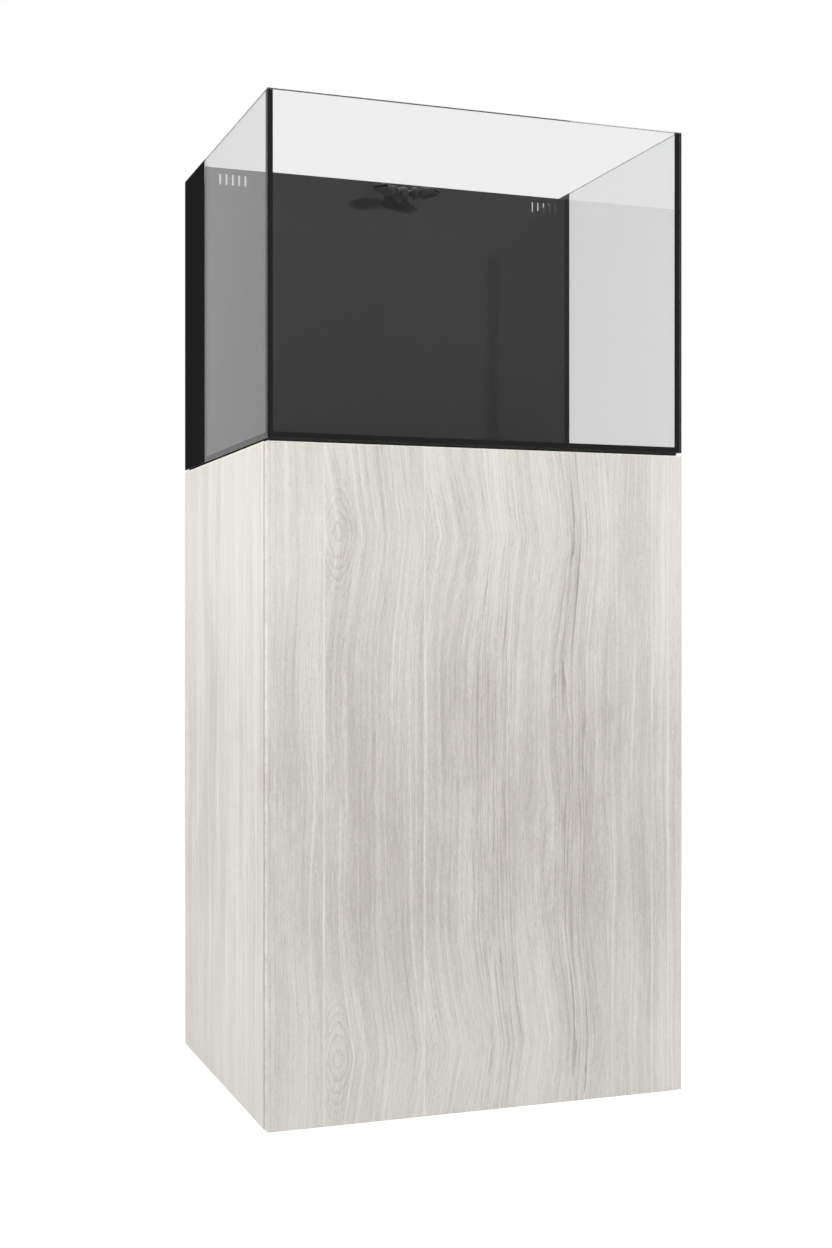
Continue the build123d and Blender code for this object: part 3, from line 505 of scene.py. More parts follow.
@dataclass(frozen=True)
class CastSheet(Finish):
    """Cast black acrylic sheet: deep tone, long faint waves and a little haze."""

    colour: Colour = (0.025, 0.025, 0.0254)
    rough: float = 0.36
    wave_run: tuple[float, float, float] = (1.0, 1.0, 0.6)
    waves_per_m: float = 7.0
    haze_per_m: float = 14.0
    depth: float = 0.0003

    def shade(self, tree: Tree) -> Socket:
        """A smooth face with a hint of haze.

        Args:
            tree: The material's tree.

        Returns:
            The shader.
        """
        wave = tree.cloud(tree.stretched(self.wave_run), self.waves_per_m, 0.0)
        haze = tree.cloud(tree.joined(*tree.place()), self.haze_per_m, 1.0)
        return tree.principled(
            Base_Color=tree.blend(wave.ramp(0.3, 0.7), self.colour, scaled(self.colour, 1.18)),
            Roughness=self.rough + 0.06 * haze,
            IOR=1.42,
            Specular_IOR_Level=0.06,
            Normal=tree.relief(wave, self.depth, 0.15),
        )


@dataclass(frozen=True)
class Felt(Finish):
    """Needled polyester felt: matted fibres, dimples and a soft nap."""

    colour: Colour = (0.80, 0.80, 0.77)
    shaded: Colour = (0.60, 0.60, 0.57)
    rough: float = 0.9
    nap: float = 0.35
    across_per_m: tuple[float, float, float] = (900.0, 900.0, 220.0)
    along_per_m: tuple[float, float, float] = (240.0, 240.0, 950.0)
    dimples_per_m: float = 420.0
    depth: float = 0.0006

    def shade(self, tree: Tree) -> Socket:
        """Crossed fibre noise over needle dimples.

        Args:
            tree: The material's tree.

        Returns:
            The shader.
        """
        across = tree.cloud(tree.stretched(self.across_per_m), 1.0, 3.0, 0.7)
        along = tree.cloud(tree.stretched(self.along_per_m), 1.0, 3.0, 0.7)
        dimple = tree.cells(tree.joined(*tree.place()), self.dimples_per_m)
        mat = across * 0.5 + along * 0.5
        lit = (mat * 0.8 + dimple * 0.4).ramp(0.35, 0.85)
        return tree.principled(
            Base_Color=tree.blend(lit, self.shaded, self.colour),
            Roughness=self.rough + 0.08 * mat,
            Sheen_Weight=self.nap,
            Sheen_Roughness=0.5,
            Normal=tree.relief(mat + dimple * 0.6, self.depth, 0.8),
        )


@dataclass(frozen=True)
class OpenFoam(Finish):
    """Open-celled filter foam: lighter struts, with painted shade in the pits between them."""

    colour: Colour = (0.055, 0.055, 0.06)
    # Painted shade: the dark colour inside the foam's pits.
    painted_pit_shade: Colour = (0.006, 0.006, 0.007)
    cell_mm: float = 1.6
    finer: float = 1.9
    depth: float = 0.0009

    def shade(self, tree: Tree) -> Socket:
        """Cells at two sizes, deep in the relief.

        Args:
            tree: The material's tree.

        Returns:
            The shader.
        """
        where = tree.joined(*tree.place())
        coarse = tree.cells(where, MM / self.cell_mm)
        fine = tree.cells(where, self.finer * MM / self.cell_mm)
        strut = (coarse * 0.7 + fine * 0.4).ramp(0.25, 0.6)
        return tree.principled(
            # Painted shade in the pits, the foam's own colour on the struts.
            Base_Color=tree.blend(strut, self.painted_pit_shade, self.colour),
            Roughness=0.85 + 0.1 * strut,
            Normal=tree.relief(strut, self.depth, 0.9),
        )


@dataclass(frozen=True)
class BrushedMetal(Finish):
    """Plated or rolled steel with fine lines drawn along one axis."""

    colour: Colour = (0.6, 0.6, 0.6)
    rough: float = 0.3
    along: Axis = Axis.Z
    lines_per_m: float = 520.0
    breaks_per_m: float = 30.0
    bloom_per_m: float = 90.0
    depth: float = 0.00003

    def shade(self, tree: Tree) -> Socket:
        """Stretched noise for the lines, cloud for the plating's bloom.

        Args:
            tree: The material's tree.

        Returns:
            The shader.
        """
        stretch = [self.lines_per_m] * 3
        stretch[self.along.value] = self.breaks_per_m
        lines = tree.cloud(tree.stretched(stretch), 1.0, 3.0, 0.6)
        bloom = tree.cloud(tree.joined(*tree.place()), self.bloom_per_m, 2.0)
        return tree.principled(
            Base_Color=tree.blend(bloom, scaled(self.colour, 0.86), self.colour),
            Roughness=self.rough + 0.16 * (lines - 0.5) + 0.08 * bloom,
            Metallic=1.0,
            Normal=tree.relief(lines, self.depth, 0.6),
        )


@dataclass(frozen=True)
class SmokedHose(Finish):
    """Dark silicone hose with a dull skin and faint drag lines."""

    colour: Colour = (0.022, 0.022, 0.024)
    rough: float = 0.36
    drag_per_m: tuple[float, float, float] = (1500.0, 300.0, 60.0)
    bloom_per_m: float = 45.0
    depth: float = 0.0001

    def shade(self, tree: Tree) -> Socket:
        """Bloom in the tone, drag lines along the tube.

        Args:
            tree: The material's tree.

        Returns:
            The shader.
        """
        drag = tree.cloud(tree.stretched(self.drag_per_m), 1.0, 2.0)
        bloom = tree.cloud(tree.joined(*tree.place()), self.bloom_per_m, 3.0)
        return tree.principled(
            Base_Color=tree.blend(bloom, self.colour, scaled(self.colour, 2.0)),
            Roughness=self.rough + 0.2 * bloom,
            IOR=1.42,
            Normal=tree.relief(drag, self.depth, 0.4),
        )


class Grain(Enum):
    """How a laminate panel's grain lies: its across axis and its along axis."""

    FRONT = (Axis.X, Axis.Z)
    SIDE = (Axis.Y, Axis.Z)
    FLAT = (Axis.Y, Axis.X)


@dataclass(frozen=True)
class Stave:
    """One upright stave of the printed wood, in millimetres across.

    Its joint is hard where soft is 0, and fades over that width elsewhere.
    """

    start: float
    tone: float
    bow: float
    soft: float = 0.0


@dataclass(frozen=True)
class Bundle:
    """A group of dark growth lines: place and half width across, pitch and strength."""

    across: float
    half_w: float
    pitch: float
    strength: float


@dataclass(frozen=True)
class Flame:
    """A nest of pointed ovals in the printed wood, in millimetres."""

    across: float
    half_w: float
    half_h: float
    strength: float


@dataclass(frozen=True)
class Island:
    """A place that the growth lines part to go round, in millimetres."""

    across: float
    along: float
    half_w: float
    half_h: float
    push: float


@dataclass(frozen=True)
class Strand:
    """Noise in lines along the growth: pitch and length in millimetres, seed, octaves, weight."""

    pitch: float
    length: float
    seed: float
    octaves: float
    weight: float


BROAD = Strand(30.0, 420.0, 0.0, 1.0, 0.45)
STREAK = Strand(7.0, 700.0, 4.0, 2.0, 0.40)
THREAD = Strand(2.1, 260.0, 9.0, 2.0, 0.58)
FIBRE = Strand(0.85, 26.0, 13.0, 2.0, 0.78)
SPECK = Strand(1.3, 5.0, 33.0, 1.0, 0.40)
PORE = Strand(0.8, 16.0, 21.0, 0.0, 0.20)


@dataclass(frozen=True)
class OakLaminate(Finish):
    """Pale grey oak print on board: staves, bowed growth lines, flames, fibres and pores, with
    painted shade at mid height and a painted highlight along the top.
    """

    grain: Grain = Grain.FRONT
    shift: float = 300.0
    staves: tuple[Stave, ...] = ()
    bundles: tuple[Bundle, ...] = ()
    flames: tuple[Flame, ...] = ()
    islands: tuple[Island, ...] = ()
    creams: tuple[float, ...] = ()
    light: Colour = linear(228, 225, 217)
    dark: Colour = linear(164, 160, 151)
    base: float = 0.62
    mirror_z: float = 776.0
    repeat: float = 683.0
    bow_h: float = 190.0
    top: float = 896.0
    drift: float = 16.0
    island_reach: float = 1.6
    line_bite: float = 5.0
    line_waver: float = 2.6
    rings: float = 5.0
    ring_bite: float = 3.0
    ring_waver: float = 1.1
    cloudy_weight: float = 0.36
    # Painted shade: how much darker the wood is at mid height than towards the top and bottom.
    painted_mid_shade_weight: float = 0.26
    vein_weight: float = 0.30
    cream_weight: float = 0.42
    # Painted highlight: a lighter band just under the top edge, with its colour, reach and share.
    lip: Colour = linear(238, 236, 228)
    painted_highlight_low: float = 3.2
    painted_highlight_high: float = 1.6
    painted_highlight_share: float = 0.45
    rough: float = 0.48
    depth: float = 0.00010

    def shade(self, tree: Tree) -> Socket:
        """Add up the figure, tone it, and let the pores show in the relief and gloss.

        Args:
            tree: The material's tree.

        Returns:
            The shader.
        """
        coords = tree.place()
        across, along = (coords[axis.value] for axis in self.grain.value)
        u = across * MM + self.shift
        v = along * MM
        stave, tone, bow = self.by_stave(u)
        up = (v - (self.mirror_z - 4 * self.repeat)).folded(self.repeat / 2)
        lean = up.ramp(-0.35 * self.bow_h, self.bow_h)
        sway = tree.cloud(tree.joined(u * 0.011, up * 0.0045, stave * 9.1), 1.0, 0.0) - 0.5
        wobble = tree.cloud(tree.joined(u * 0.03, v * 0.011, stave * 3.7), 1.0, 1.0) - 0.5
        g = u + (lean - 0.16) * bow + sway * self.drift + wobble * (0.6 + 0.07 * bow)
        for island in self.islands:
            g = g - self.parting(u, v, island)

        def drawn(strand: Strand) -> Level:
            """Noise round 0 in lines that follow the growth."""
            at = tree.joined(g / strand.pitch, v / strand.length, stave * 5.3 + strand.seed)
            return tree.cloud(at, 1.0, strand.octaves, 0.55) - 0.5

        strands = (BROAD, STREAK, THREAD, FIBRE, SPECK, PORE)
        broad, streak, thread, fibre, speck, pore = (drawn(strand) for strand in strands)
        pores = pore.ramp(0.17, 0.27) * (0.45 + streak).ramp(0.25, 0.6)
        cloudy = tree.cloud(tree.joined(u * 0.02, v * 0.006, 2.0), 1.0, 2.0) - 0.5
        # Painted shade: 0 at mid height, rising to 1 towards the top and the bottom.
        middle = (abs(v - 0.47 * self.top) / (0.5 * self.top)).ramp(0.1, 0.9)

        figure = (
            self.base
            + tone
            + BROAD.weight * broad
            + STREAK.weight * streak
            + THREAD.weight * thread
            + FIBRE.weight * fibre
            + SPECK.weight * speck
            + self.cloudy_weight * cloudy
            # Painted shade, darker at mid height and lighter towards the top and bottom.
            + self.painted_mid_shade_weight * (middle - 0.4)
            + self.vein_weight * streak.ramp(0.08, 0.20) * (thread + 0.5)
            - PORE.weight * pores
        )
        for bundle in self.bundles:
            figure = figure - self.lines(tree, g, v, bundle)
        for flame in self.flames:
            figure = figure - self.nest(tree, u, v, up, flame)
        for cream in self.creams:
            line = abs(u - cream).ramp(0.5, 1.9, 1.0, 0.0)
            figure = figure + self.cream_weight * line * (0.6 + thread)
        # Painted highlight along the top edge.
        lip = v.ramp(self.top - self.painted_highlight_low, self.top - self.painted_highlight_high)
        colour = tree.blend(figure.ramp(-0.25, 1.25), self.dark, self.light)
        return tree.principled(
            Base_Color=tree.blend(lip * self.painted_highlight_share, colour, self.lip),
            Roughness=self.rough + 0.2 * fibre + 0.10 * pores,
            IOR=1.42,
            Specular_IOR_Level=0.35,
            Normal=tree.relief(fibre * 0.7 - pores, self.depth, 0.5),
        )

    def by_stave(self, u: Level) -> tuple[Level, Level, Level]:
        """Step the stave number, tone and bow at each joint.

        Args:
            u: Millimetres across the panel.

        Returns:
            Stave number, tone offset and sideways bow.
        """
        first = self.staves[0]
        number = u * 0.0
        tone = number + first.tone
        bow = number + first.bow
        for before, after in zip(self.staves, self.staves[1:]):
            if after.soft:
                past = u.ramp(after.start, after.start + after.soft)
            else:
                past = u > after.start
                number = number + past
            tone = tone + past * (after.tone - before.tone)
            bow = bow + past * (after.bow - before.bow)
        return number, tone, bow

    def parting(self, u: Level, v: Level, island: Island) -> Level:
        """How far an island pushes the growth lines aside.

        Args:
            u: Millimetres across the panel.
            v: Millimetres along the grain.
            island: Its place, size and push.

        Returns:
            The sideways push in millimetres.
        """
        side = (u - island.across) / island.half_w
        rise = (v - island.along) / island.half_h
        inside = (side * side + rise * rise).ramp(0.0, self.island_reach, 1.0, 0.0)
        return side * inside * island.push

    def lines(self, tree: Tree, g: Level, v: Level, bundle: Bundle) -> Level:
        """Thin dark growth lines, sharp on one side and fading on the other.

        Args:
            tree: The finish's tree.
            g: Millimetres across, with the growth's bow.
            v: Millimetres along the grain.
            bundle: The lines' place, pitch and strength.

        Returns:
            How much the lines darken the wood.
        """
        uneven = tree.cloud(tree.joined(g * 0.13, v * 0.0035, bundle.across), 1.0, 2.0)
        saw = (g / bundle.pitch + uneven * self.line_waver).fraction()
        near = (abs(g - bundle.across) / bundle.half_w).ramp(0.35, 1.0, 1.0, 0.0)
        patchy = tree.cloud(tree.joined(g * 0.16, v * 0.011, 7.0), 1.0, 1.0).ramp(0.32, 0.62)
        return (saw ** self.line_bite) * near * (0.35 + 0.65 * patchy) * bundle.strength

    def nest(self, tree: Tree, u: Level, v: Level, up: Level, flame: Flame) -> Level:
        """Nested pointed ovals, mirrored up the panel at each repeat.

        Args:
            tree: The finish's tree.
            u: Millimetres across the panel.
            v: Millimetres along the grain.
            up: Millimetres from the nearest mirror line.
            flame: The nest's place, size and strength.

        Returns:
            How much the nest darkens the wood.
        """
        side = (u - flame.across) / flame.half_w
        out = (up / flame.half_h) ** 1.4 + abs(side) ** 1.7
        wander = tree.cloud(tree.joined(u * 0.12, v * 0.05, flame.across), 1.0, 2.0)
        saw = (out * self.rings + wander * self.ring_waver).fraction()
        inside = out.ramp(0.55, 1.3, 1.0, 0.0) * (side > -0.74)
        return (saw ** self.ring_bite) * inside * flame.strength


OAK_STAVES = (
    Stave(0.0, 0.05, 3.0),
    Stave(76.9, -0.04, 24.0),
    Stave(216.0, -0.04, 30.0),
    Stave(262.0, 0.01, 25.0, 44.0),
    Stave(390.0, -0.02, 16.0, 40.0),
    Stave(485.9, -0.04, 3.0),
    Stave(553.0, 0.12, 1.0, 16.0),
)
OAK_BUNDLES = (
    Bundle(166.0, 16.0, 6.0, 0.34),
    Bundle(311.0, 9.0, 5.0, 0.62),
    Bundle(343.0, 34.0, 6.2, 0.58),
    Bundle(444.0, 30.0, 9.5, 0.80),
    Bundle(575.0, 5.0, 3.6, 0.50),
)
OAK_FLAMES = (Flame(95.0, 31.0, 80.0, 0.27), Flame(231.0, 24.0, 76.0, 0.17))
OAK_ISLANDS = (
    Island(382.0, 330.0, 34.0, 125.0, 12.0),
    Island(478.0, 338.0, 26.0, 90.0, 10.0),
)
OAK_CREAMS = (76.0, 215.2, 553.0, 578.0)
SIDE_STAVES = (
    Stave(0.0, 0.04, 3.0),
    Stave(96.0, 0.10, 5.0, 20.0),
    Stave(232.0, 0.02, 8.0),
    Stave(371.0, 0.08, 3.0, 30.0),
)
SIDE_BUNDLES = (Bundle(205.0, 22.0, 7.0, 0.16), Bundle(330.0, 30.0, 9.0, 0.14))
SIDE_CREAMS = (58.0, 231.0, 402.0)


class Finishes:
    """The set of finishes of this object."""

    glass_front = FloatGlass("float_glass_front", Axis.Y)
    glass_side = FloatGlass("float_glass_side", Axis.X, (0.94, 0.945, 0.943))
    glass_base = FloatGlass("float_glass_base", Axis.Z)
    silicone = Tooled("black_silicone")
    film = MattFilm("matt_black_film")
    acrylic = CastSheet("black_acrylic")
    # The mat's third colour is painted shade in its pits.
    foam_mat = OpenFoam("closed_foam_mat", (0.02, 0.02, 0.02), (0.008, 0.008, 0.008), 0.5)
    ring = Moulded("grey_ring_plastic", (0.17, 0.17, 0.18), 0.5)
    felt = Felt("needled_felt")
    sponge = OpenFoam("filter_sponge")
    pump = Moulded("pump_plastic", (0.035, 0.035, 0.04), 0.42, depth=0.00007, grain=900.0)
    rotor = Moulded("rotor_plastic", (0.09, 0.11, 0.16), 0.38)
    ceramic = Moulded("ground_ceramic", (0.83, 0.82, 0.78), 0.22, coat=0.4, tone_change=0.03)
    rubber = Moulded("soft_rubber", (0.025, 0.025, 0.026), 0.62, grain=700.0)
    hose = SmokedHose("smoked_hose")
    stainless = BrushedMetal("stainless_band", (0.64, 0.64, 0.65), 0.26)
    outlet = Moulded(
        "outlet_plastic", (0.010, 0.010, 0.0105), 0.24, 0.10, grain=1600.0, depth=0.00003, coat=0.5,
    )
    door_oak = OakLaminate(
        "oak_laminate_door", Grain.FRONT, 300.0, OAK_STAVES, OAK_BUNDLES, OAK_FLAMES, OAK_ISLANDS,
        OAK_CREAMS,
    )
    back_oak = OakLaminate(
        "oak_laminate_back", Grain.FRONT, 361.0, SIDE_STAVES, OAK_BUNDLES[:2], OAK_FLAMES[:1],
    )
    side_oak = OakLaminate(
        "oak_laminate_side", Grain.SIDE, 250.0, SIDE_STAVES, SIDE_BUNDLES, creams=SIDE_CREAMS,
    )
    shelf_oak = OakLaminate(
        "oak_laminate_shelf", Grain.FLAT, 250.0, SIDE_STAVES, SIDE_BUNDLES,
    )
    grommet = Moulded("grommet_plastic", (0.55, 0.54, 0.50), 0.48)
    zinc = BrushedMetal("zinc_plate", (0.58, 0.58, 0.60), 0.34)
    nickel = BrushedMetal("nickel_plate", (0.68, 0.66, 0.62), 0.22, Axis.Y)
    latch = Moulded("latch_plastic", (0.48, 0.48, 0.47), 0.46)
    foot = Moulded("foot_plastic", (0.03, 0.03, 0.03), 0.5, grain=800.0)


def dress(finish: Finish, *names: str) -> None:
    """Give CAD nodes a finish.

    Args:
        finish: The finish.
        names: The nodes.
    """
    for name in names:
        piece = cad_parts[name]
        if not piece.material_slots:
            piece.data.materials.append(None)
        for holder in piece.material_slots:
            holder.material = finish.material()


def new_piece(name: str, mesh: Mesh, finish: Finish, body: str) -> Piece:
    """Turn a mesh into a finished piece that rides on a body.

    Args:
        name: The piece's name.
        mesh: Its mesh, which is freed.
        finish: Its finish.
        body: The CAD body that it moves with.

    Returns:
        The piece.
    """
    bmesh.ops.recalc_face_normals(mesh, faces=mesh.faces)
    data = bpy.data.meshes.new(name)
    mesh.to_mesh(data)
    mesh.free()
    for face in data.polygons:
        face.use_smooth = True
    data.materials.append(finish.material())
    piece = bpy.data.objects.new(name, data)
    bpy.context.scene.collection.objects.link(piece)
    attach(piece, body)
    return piece


# ---- Tank ----

@dataclass
class GlassTank:
    """Five panes with black seams, film behind and a foam mat below."""

    root: str = "tank_and_cabinet"
    mat_step: float = 0.012
    mat_waver: float = 0.00018
    wavers_per_m: float = 55.0
    mat_profile: tuple[tuple[float, float], ...] = (
        (-0.0040, 0.0), (-0.0006, 0.0), (0.0002, 0.22), (0.0005, 0.5),
        (0.0002, 0.78), (-0.0006, 1.0), (-0.0040, 1.0),
    )

    def dress_panes(self) -> None:
        """Glass on the panes, silicone in the joints, film at the back."""
        dress(Finishes.glass_front, "front_pane", "back_pane")
        dress(Finishes.glass_side, "left_pane", "right_pane")
        dress(Finishes.glass_base, "bottom_pane")
        dress(Finishes.silicone, "tank_seams", "partition_seams")
        dress(Finishes.film, "rear_film")

    def mat_outline(self, low: Vector, high: Vector) -> list[tuple[Vector, Vector]]:
        """Points round the mat with their outward directions.

        Args:
            low: The mat's low corner.
            high: Its high corner.

        Returns:
            Place and direction of each point, anticlockwise.
        """
        corners = [(low.x, low.y), (high.x, low.y), (high.x, high.y), (low.x, high.y)]
        outs = [(0, -1), (1, 0), (0, 1), (-1, 0)]
        points = []
        for (start, end), out in zip(zip(corners, corners[1:] + corners[:1]), outs):
            first, last = Vector((*start, 0)), Vector((*end, 0))
            count = max(2, round((last - first).length / self.mat_step))
            for index in range(count):
                lean = Vector((*out, 0))
                if index == 0:
                    lean = (lean + Vector((*outs[(outs.index(out) - 1) % 4], 0))).normalized()
                points.append((first.lerp(last, index / count), lean))
        return points

    def make_mat(self) -> Piece:
        """Foam pressed between tank and cabinet, so its edge bulges and wavers a little.

        Returns:
            The mat.
        """
        low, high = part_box("levelling_mat")
        thick = high.z - low.z
        mesh = bmesh.new()
        rows = []
        for place, lean in self.mat_outline(low, high):
            uneven = self.mat_waver * noise.noise(place * self.wavers_per_m)
            rows.append([
                mesh.verts.new(place + lean * (out + uneven) + Vector((0, 0, low.z + rise * thick)))
                for out, rise in self.mat_profile
            ])
        for row, following in zip(rows, rows[1:] + rows[:1]):
            for index in range(len(row) - 1):
                mesh.faces.new((row[index], following[index], following[index + 1], row[index + 1]))
        mesh.faces.new([row[0] for row in rows])
        mesh.faces.new([row[-1] for row in rows])
        piece = new_piece("foam_levelling_mat", mesh, Finishes.foam_mat, self.root)
        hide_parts("levelling_mat")
        return piece


# ---- Filter chamber ----

@dataclass
class FilterChamber:
    """Partition, baffles, trays, socks and sponges behind the display."""

    felt_thick: float = 0.0016
    felt_gap: float = 0.0002
    turns: int = 96
    levels: int = 60
    bend_steps: int = 12
    floor_steps: int = 7
    bend_share: float = 0.42
    taut_share: float = 0.12
    fold_depth: float = 0.0030
    dent_depth: float = 0.0013
    folds_around: float = 34.0
    folds_down: float = 9.0
    probe_r: float = 0.047
    dent_rate: float = 2.3
    dent_shift: tuple[float, float, float] = (3.0, 1.0, 7.0)
    calm_r: float = 0.02
    seam_width: float = 0.035
    seam_rise: float = 0.0004
    rumple: float = 0.0012
    bottom_rise: float = 0.0004
    centre_rise: float = 0.0006
    thread_r: float = 0.0003
    thread_gap: float = 0.0009
    stitches: int = 84
    stitch_h: float = 0.0035
    sponge_step: float = 0.0045
    sponge_edge: float = 0.0035
    sponge_dish: float = 0.0011
    cut_depth: float = 0.0004
    cuts_per_m: float = 260.0

    def dress_walls(self) -> None:
        """Acrylic on the walls and trays, grey plastic on the sock rings."""
        dress(
            Finishes.acrylic, "overflow_partition", "chamber_baffles", "chamber_ledges",
            "sock_trays",
        )
        dress(Finishes.ring, "left_sock_ring", "right_sock_ring")

    def sock_profile(self, radius: float, length: float) -> list[tuple[float, float, float]]:
        """Radius, depth and slackness down the outside of a felt sock.

        Args:
            radius: The sock's outer radius.
            length: Its length.

        Returns:
            One row for each ring of points, from the rim to the middle of the bottom.
        """
        bend = radius * self.bend_share
        rows = []
        for index in range(self.levels):
            share = index / (self.levels - 1)
            slack = max(0.0, share - self.taut_share) ** 0.8
            rows.append((radius, share * (length - bend), slack))
        for index in range(1, self.bend_steps + 1):
            turn = index / self.bend_steps * math.pi / 2
            rows.append((
                radius - bend + bend * math.cos(turn),
                length - bend + bend * math.sin(turn),
                1.0 - 0.5 * index / self.bend_steps,
            ))
        for index in range(1, self.floor_steps):
            left = 1 - index / self.floor_steps
            rows.append(((radius - bend) * left, length, 0.4 * left))
        return rows

    def make_sock(self, side: Side) -> Piece:
        """Hanging felt sock with slack folds, a side seam and a sewn round bottom.

        Args:
            side: Which sock.

        Returns:
            The sock.
        """
        node = f"{side.word}_filter_sock"
        low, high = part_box(node)
        middle = (low + high) / 2
        radius = (high.x - low.x) / 2
        length = high.z - low.z
        deepest = length - self.bottom_rise
        mesh = bmesh.new()
        rings = []
        for ring_radius, depth, slack in self.sock_profile(radius, length):
            bottom = ring_radius < radius
            ring = []
            for step in range(self.turns):
                angle = step / self.turns * math.tau
                around = Vector((math.cos(angle), math.sin(angle), 0))
                shift = Vector((side.value * 5.0, 0, depth * self.folds_down))
                probe = around * self.probe_r * self.folds_around + shift
                fold = 0.5 + 0.5 * noise.noise(probe)
                dent = 0.5 + 0.5 * noise.noise(probe * self.dent_rate + Vector(self.dent_shift))
                inward = slack * (self.fold_depth * fold + self.dent_depth * dent)
                inward = inward * min(1.0, ring_radius / self.calm_r)
                seam = math.exp(-((angle - math.pi * 0.5) / self.seam_width) ** 2)
                out = ring_radius - inward - self.felt_gap - self.seam_rise * (1.0 - seam)
                rumple = self.rumple * slack * (fold - 0.5) * bottom
                ring.append(mesh.verts.new((
                    middle.x + around.x * out,
                    middle.y + around.y * out,
                    high.z - min(depth, deepest) - self.felt_gap + rumple,
                )))
            rings.append(ring)
        for ring, following in zip(rings, rings[1:]):
            band(mesh, ring, following)
        centre = mesh.verts.new((middle.x, middle.y, low.z + self.centre_rise))
        for step in range(self.turns):
            mesh.faces.new((rings[-1][step], rings[-1][(step + 1) % self.turns], centre))
        body = f"{side.word}_sock"
        piece = new_piece(f"{side.word}_felt_sock", mesh, Finishes.felt, body)
        thicken(piece, self.felt_thick)
        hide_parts(node)
        stitches = self.make_stitches(side, middle, radius, high.z)
        return piece

    def make_stitches(self, side: Side, middle: Vector, radius: float, top: float) -> Piece:
        """Zigzag thread that holds the felt inside its ring.

        Args:
            side: Which sock.
            middle: The sock's axis.
            radius: The sock's outer radius.
            top: Height of the sock's rim.

        Returns:
            The thread.
        """
        inside = radius - self.felt_thick - self.thread_gap
        path = []
        for step in range(self.stitches):
            angle = step / self.stitches * math.tau
            path.append(Vector((
                middle.x + inside * math.cos(angle),
                middle.y + inside * math.sin(angle),
                top - self.stitch_h - self.stitch_h * (step % 2),
            )))
        mesh = bmesh.new()
        sweep_closed(mesh, path, self.thread_r, 6)
        body = f"{side.word}_sock"
        return new_piece(f"{side.word}_sock_thread", mesh, Finishes.felt, body)

    def make_sponge(self, side: Side) -> Piece:
        """Foam block with softened edges, a dished face and an uneven cut.

        Args:
            side: Which sponge.

        Returns:
            The sponge.
        """
        node = f"{side.word}_filter_sponge"
        low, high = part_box(node)
        mesh = bmesh.new()
        soft_block(mesh, low, high, self.sponge_step, self.sponge_edge)
        size = high - low
        for vert in mesh.verts:
            share = Vector(((vert.co[i] - low[i]) / size[i] for i in range(3)))
            dish = self.sponge_dish * math.sin(math.pi * share.y) * math.sin(math.pi * share.z)
            vert.co.x += dish * (1 if share.x < 0.5 else -1)
            rough = noise.noise(vert.co * self.cuts_per_m) - 0.6
            towards = (low + high) / 2 - vert.co
            towards.z = min(towards.z, 0.0) if share.z > 0.02 else 0.0
            vert.co += towards.normalized() * self.cut_depth * -rough
        body = f"{side.word}_sponge"
        piece = new_piece(f"{body}_block", mesh, Finishes.sponge, body)
        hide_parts(node)
        return piece


def thicken(piece: Piece, thickness: float) -> None:
    """Give an open shell its thickness inwards, in the mesh itself.

    Args:
        piece: The shell.
        thickness: Its thickness.
    """
    solid = piece.modifiers.new("thickness", "SOLIDIFY")
    solid.thickness = thickness
    solid.offset = -1.0
    graph = bpy.context.evaluated_depsgraph_get()
    made = bpy.data.meshes.new_from_object(piece.evaluated_get(graph))
    piece.modifiers.clear()
    made.name = piece.data.name
    piece.data = made


def band(mesh: Mesh, ring: Sequence[Point], following: Sequence[Point]) -> None:
    """Join two closed rings of as many points with faces.

    Args:
        mesh: The mesh to add to.
        ring: The first ring.
        following: The ring after it.
    """
    for step, vert in enumerate(ring):
        after = (step + 1) % len(ring)
        mesh.faces.new((vert, ring[after], following[after], following[step]))


def sweep_closed(mesh: Mesh, path: Sequence[Vector], radius: float, sides: int) -> None:
    """Sweep a round thread along a closed path.

    Args:
        mesh: The mesh to add to.
        path: Its points in order.
        radius: The thread's radius.
        sides: Points round the thread.
    """
    rings = []
    for index, place in enumerate(path):
        run = (path[(index + 1) % len(path)] - path[index - 1]).normalized()
        side = run.cross(Vector((0, 0, 1))).normalized()
        up = side.cross(run)
        rings.append([
            mesh.verts.new(place + radius * (side * math.cos(turn) + up * math.sin(turn)))
            for turn in (step / sides * math.tau for step in range(sides))
        ])
    for ring, following in zip(rings, rings[1:] + rings[:1]):
        band(mesh, ring, following)


def soft_block(mesh: Mesh, low: Vector, high: Vector, step: float, edge: float) -> None:
    """Add a block in small faces, its edges rounded.

    Args:
        mesh: The mesh to add to.
        low: The block's low corner.
        high: Its high corner.
        step: The size of its faces.
        edge: The radius of its edges.
    """
    size = high - low
    counts = [max(2, round(length / step)) for length in size]
    kept: dict[tuple[int, int, int], Point] = {}

    def vert(index: tuple[int, int, int]) -> Point:
        """Find or make the vertex at a grid place on the block's skin.

        Args:
            index: The grid place.

        Returns:
            The vertex.
        """
        if index not in kept:
            place = Vector((low[i] + size[i] * index[i] / counts[i] for i in range(3)))
            core = Vector((min(max(place[i], low[i] + edge), high[i] - edge) for i in range(3)))
            out = place - core
            if out.length > edge:
                place = core + out.normalized() * edge
            kept[index] = mesh.verts.new(place)
        return kept[index]

    for axis in range(3):
        first, second = [i for i in range(3) if i != axis]
        for end in (0, counts[axis]):
            for a in range(counts[first]):
                for b in range(counts[second]):
                    corners = []
                    for da, db in ((0, 0), (1, 0), (1, 1), (0, 1)):
                        index = [0, 0, 0]
                        index[axis], index[first], index[second] = end, a + da, b + db
                        corners.append(vert(tuple(index)))
                    mesh.faces.new(corners)


# ---- Pump and plumbing ----

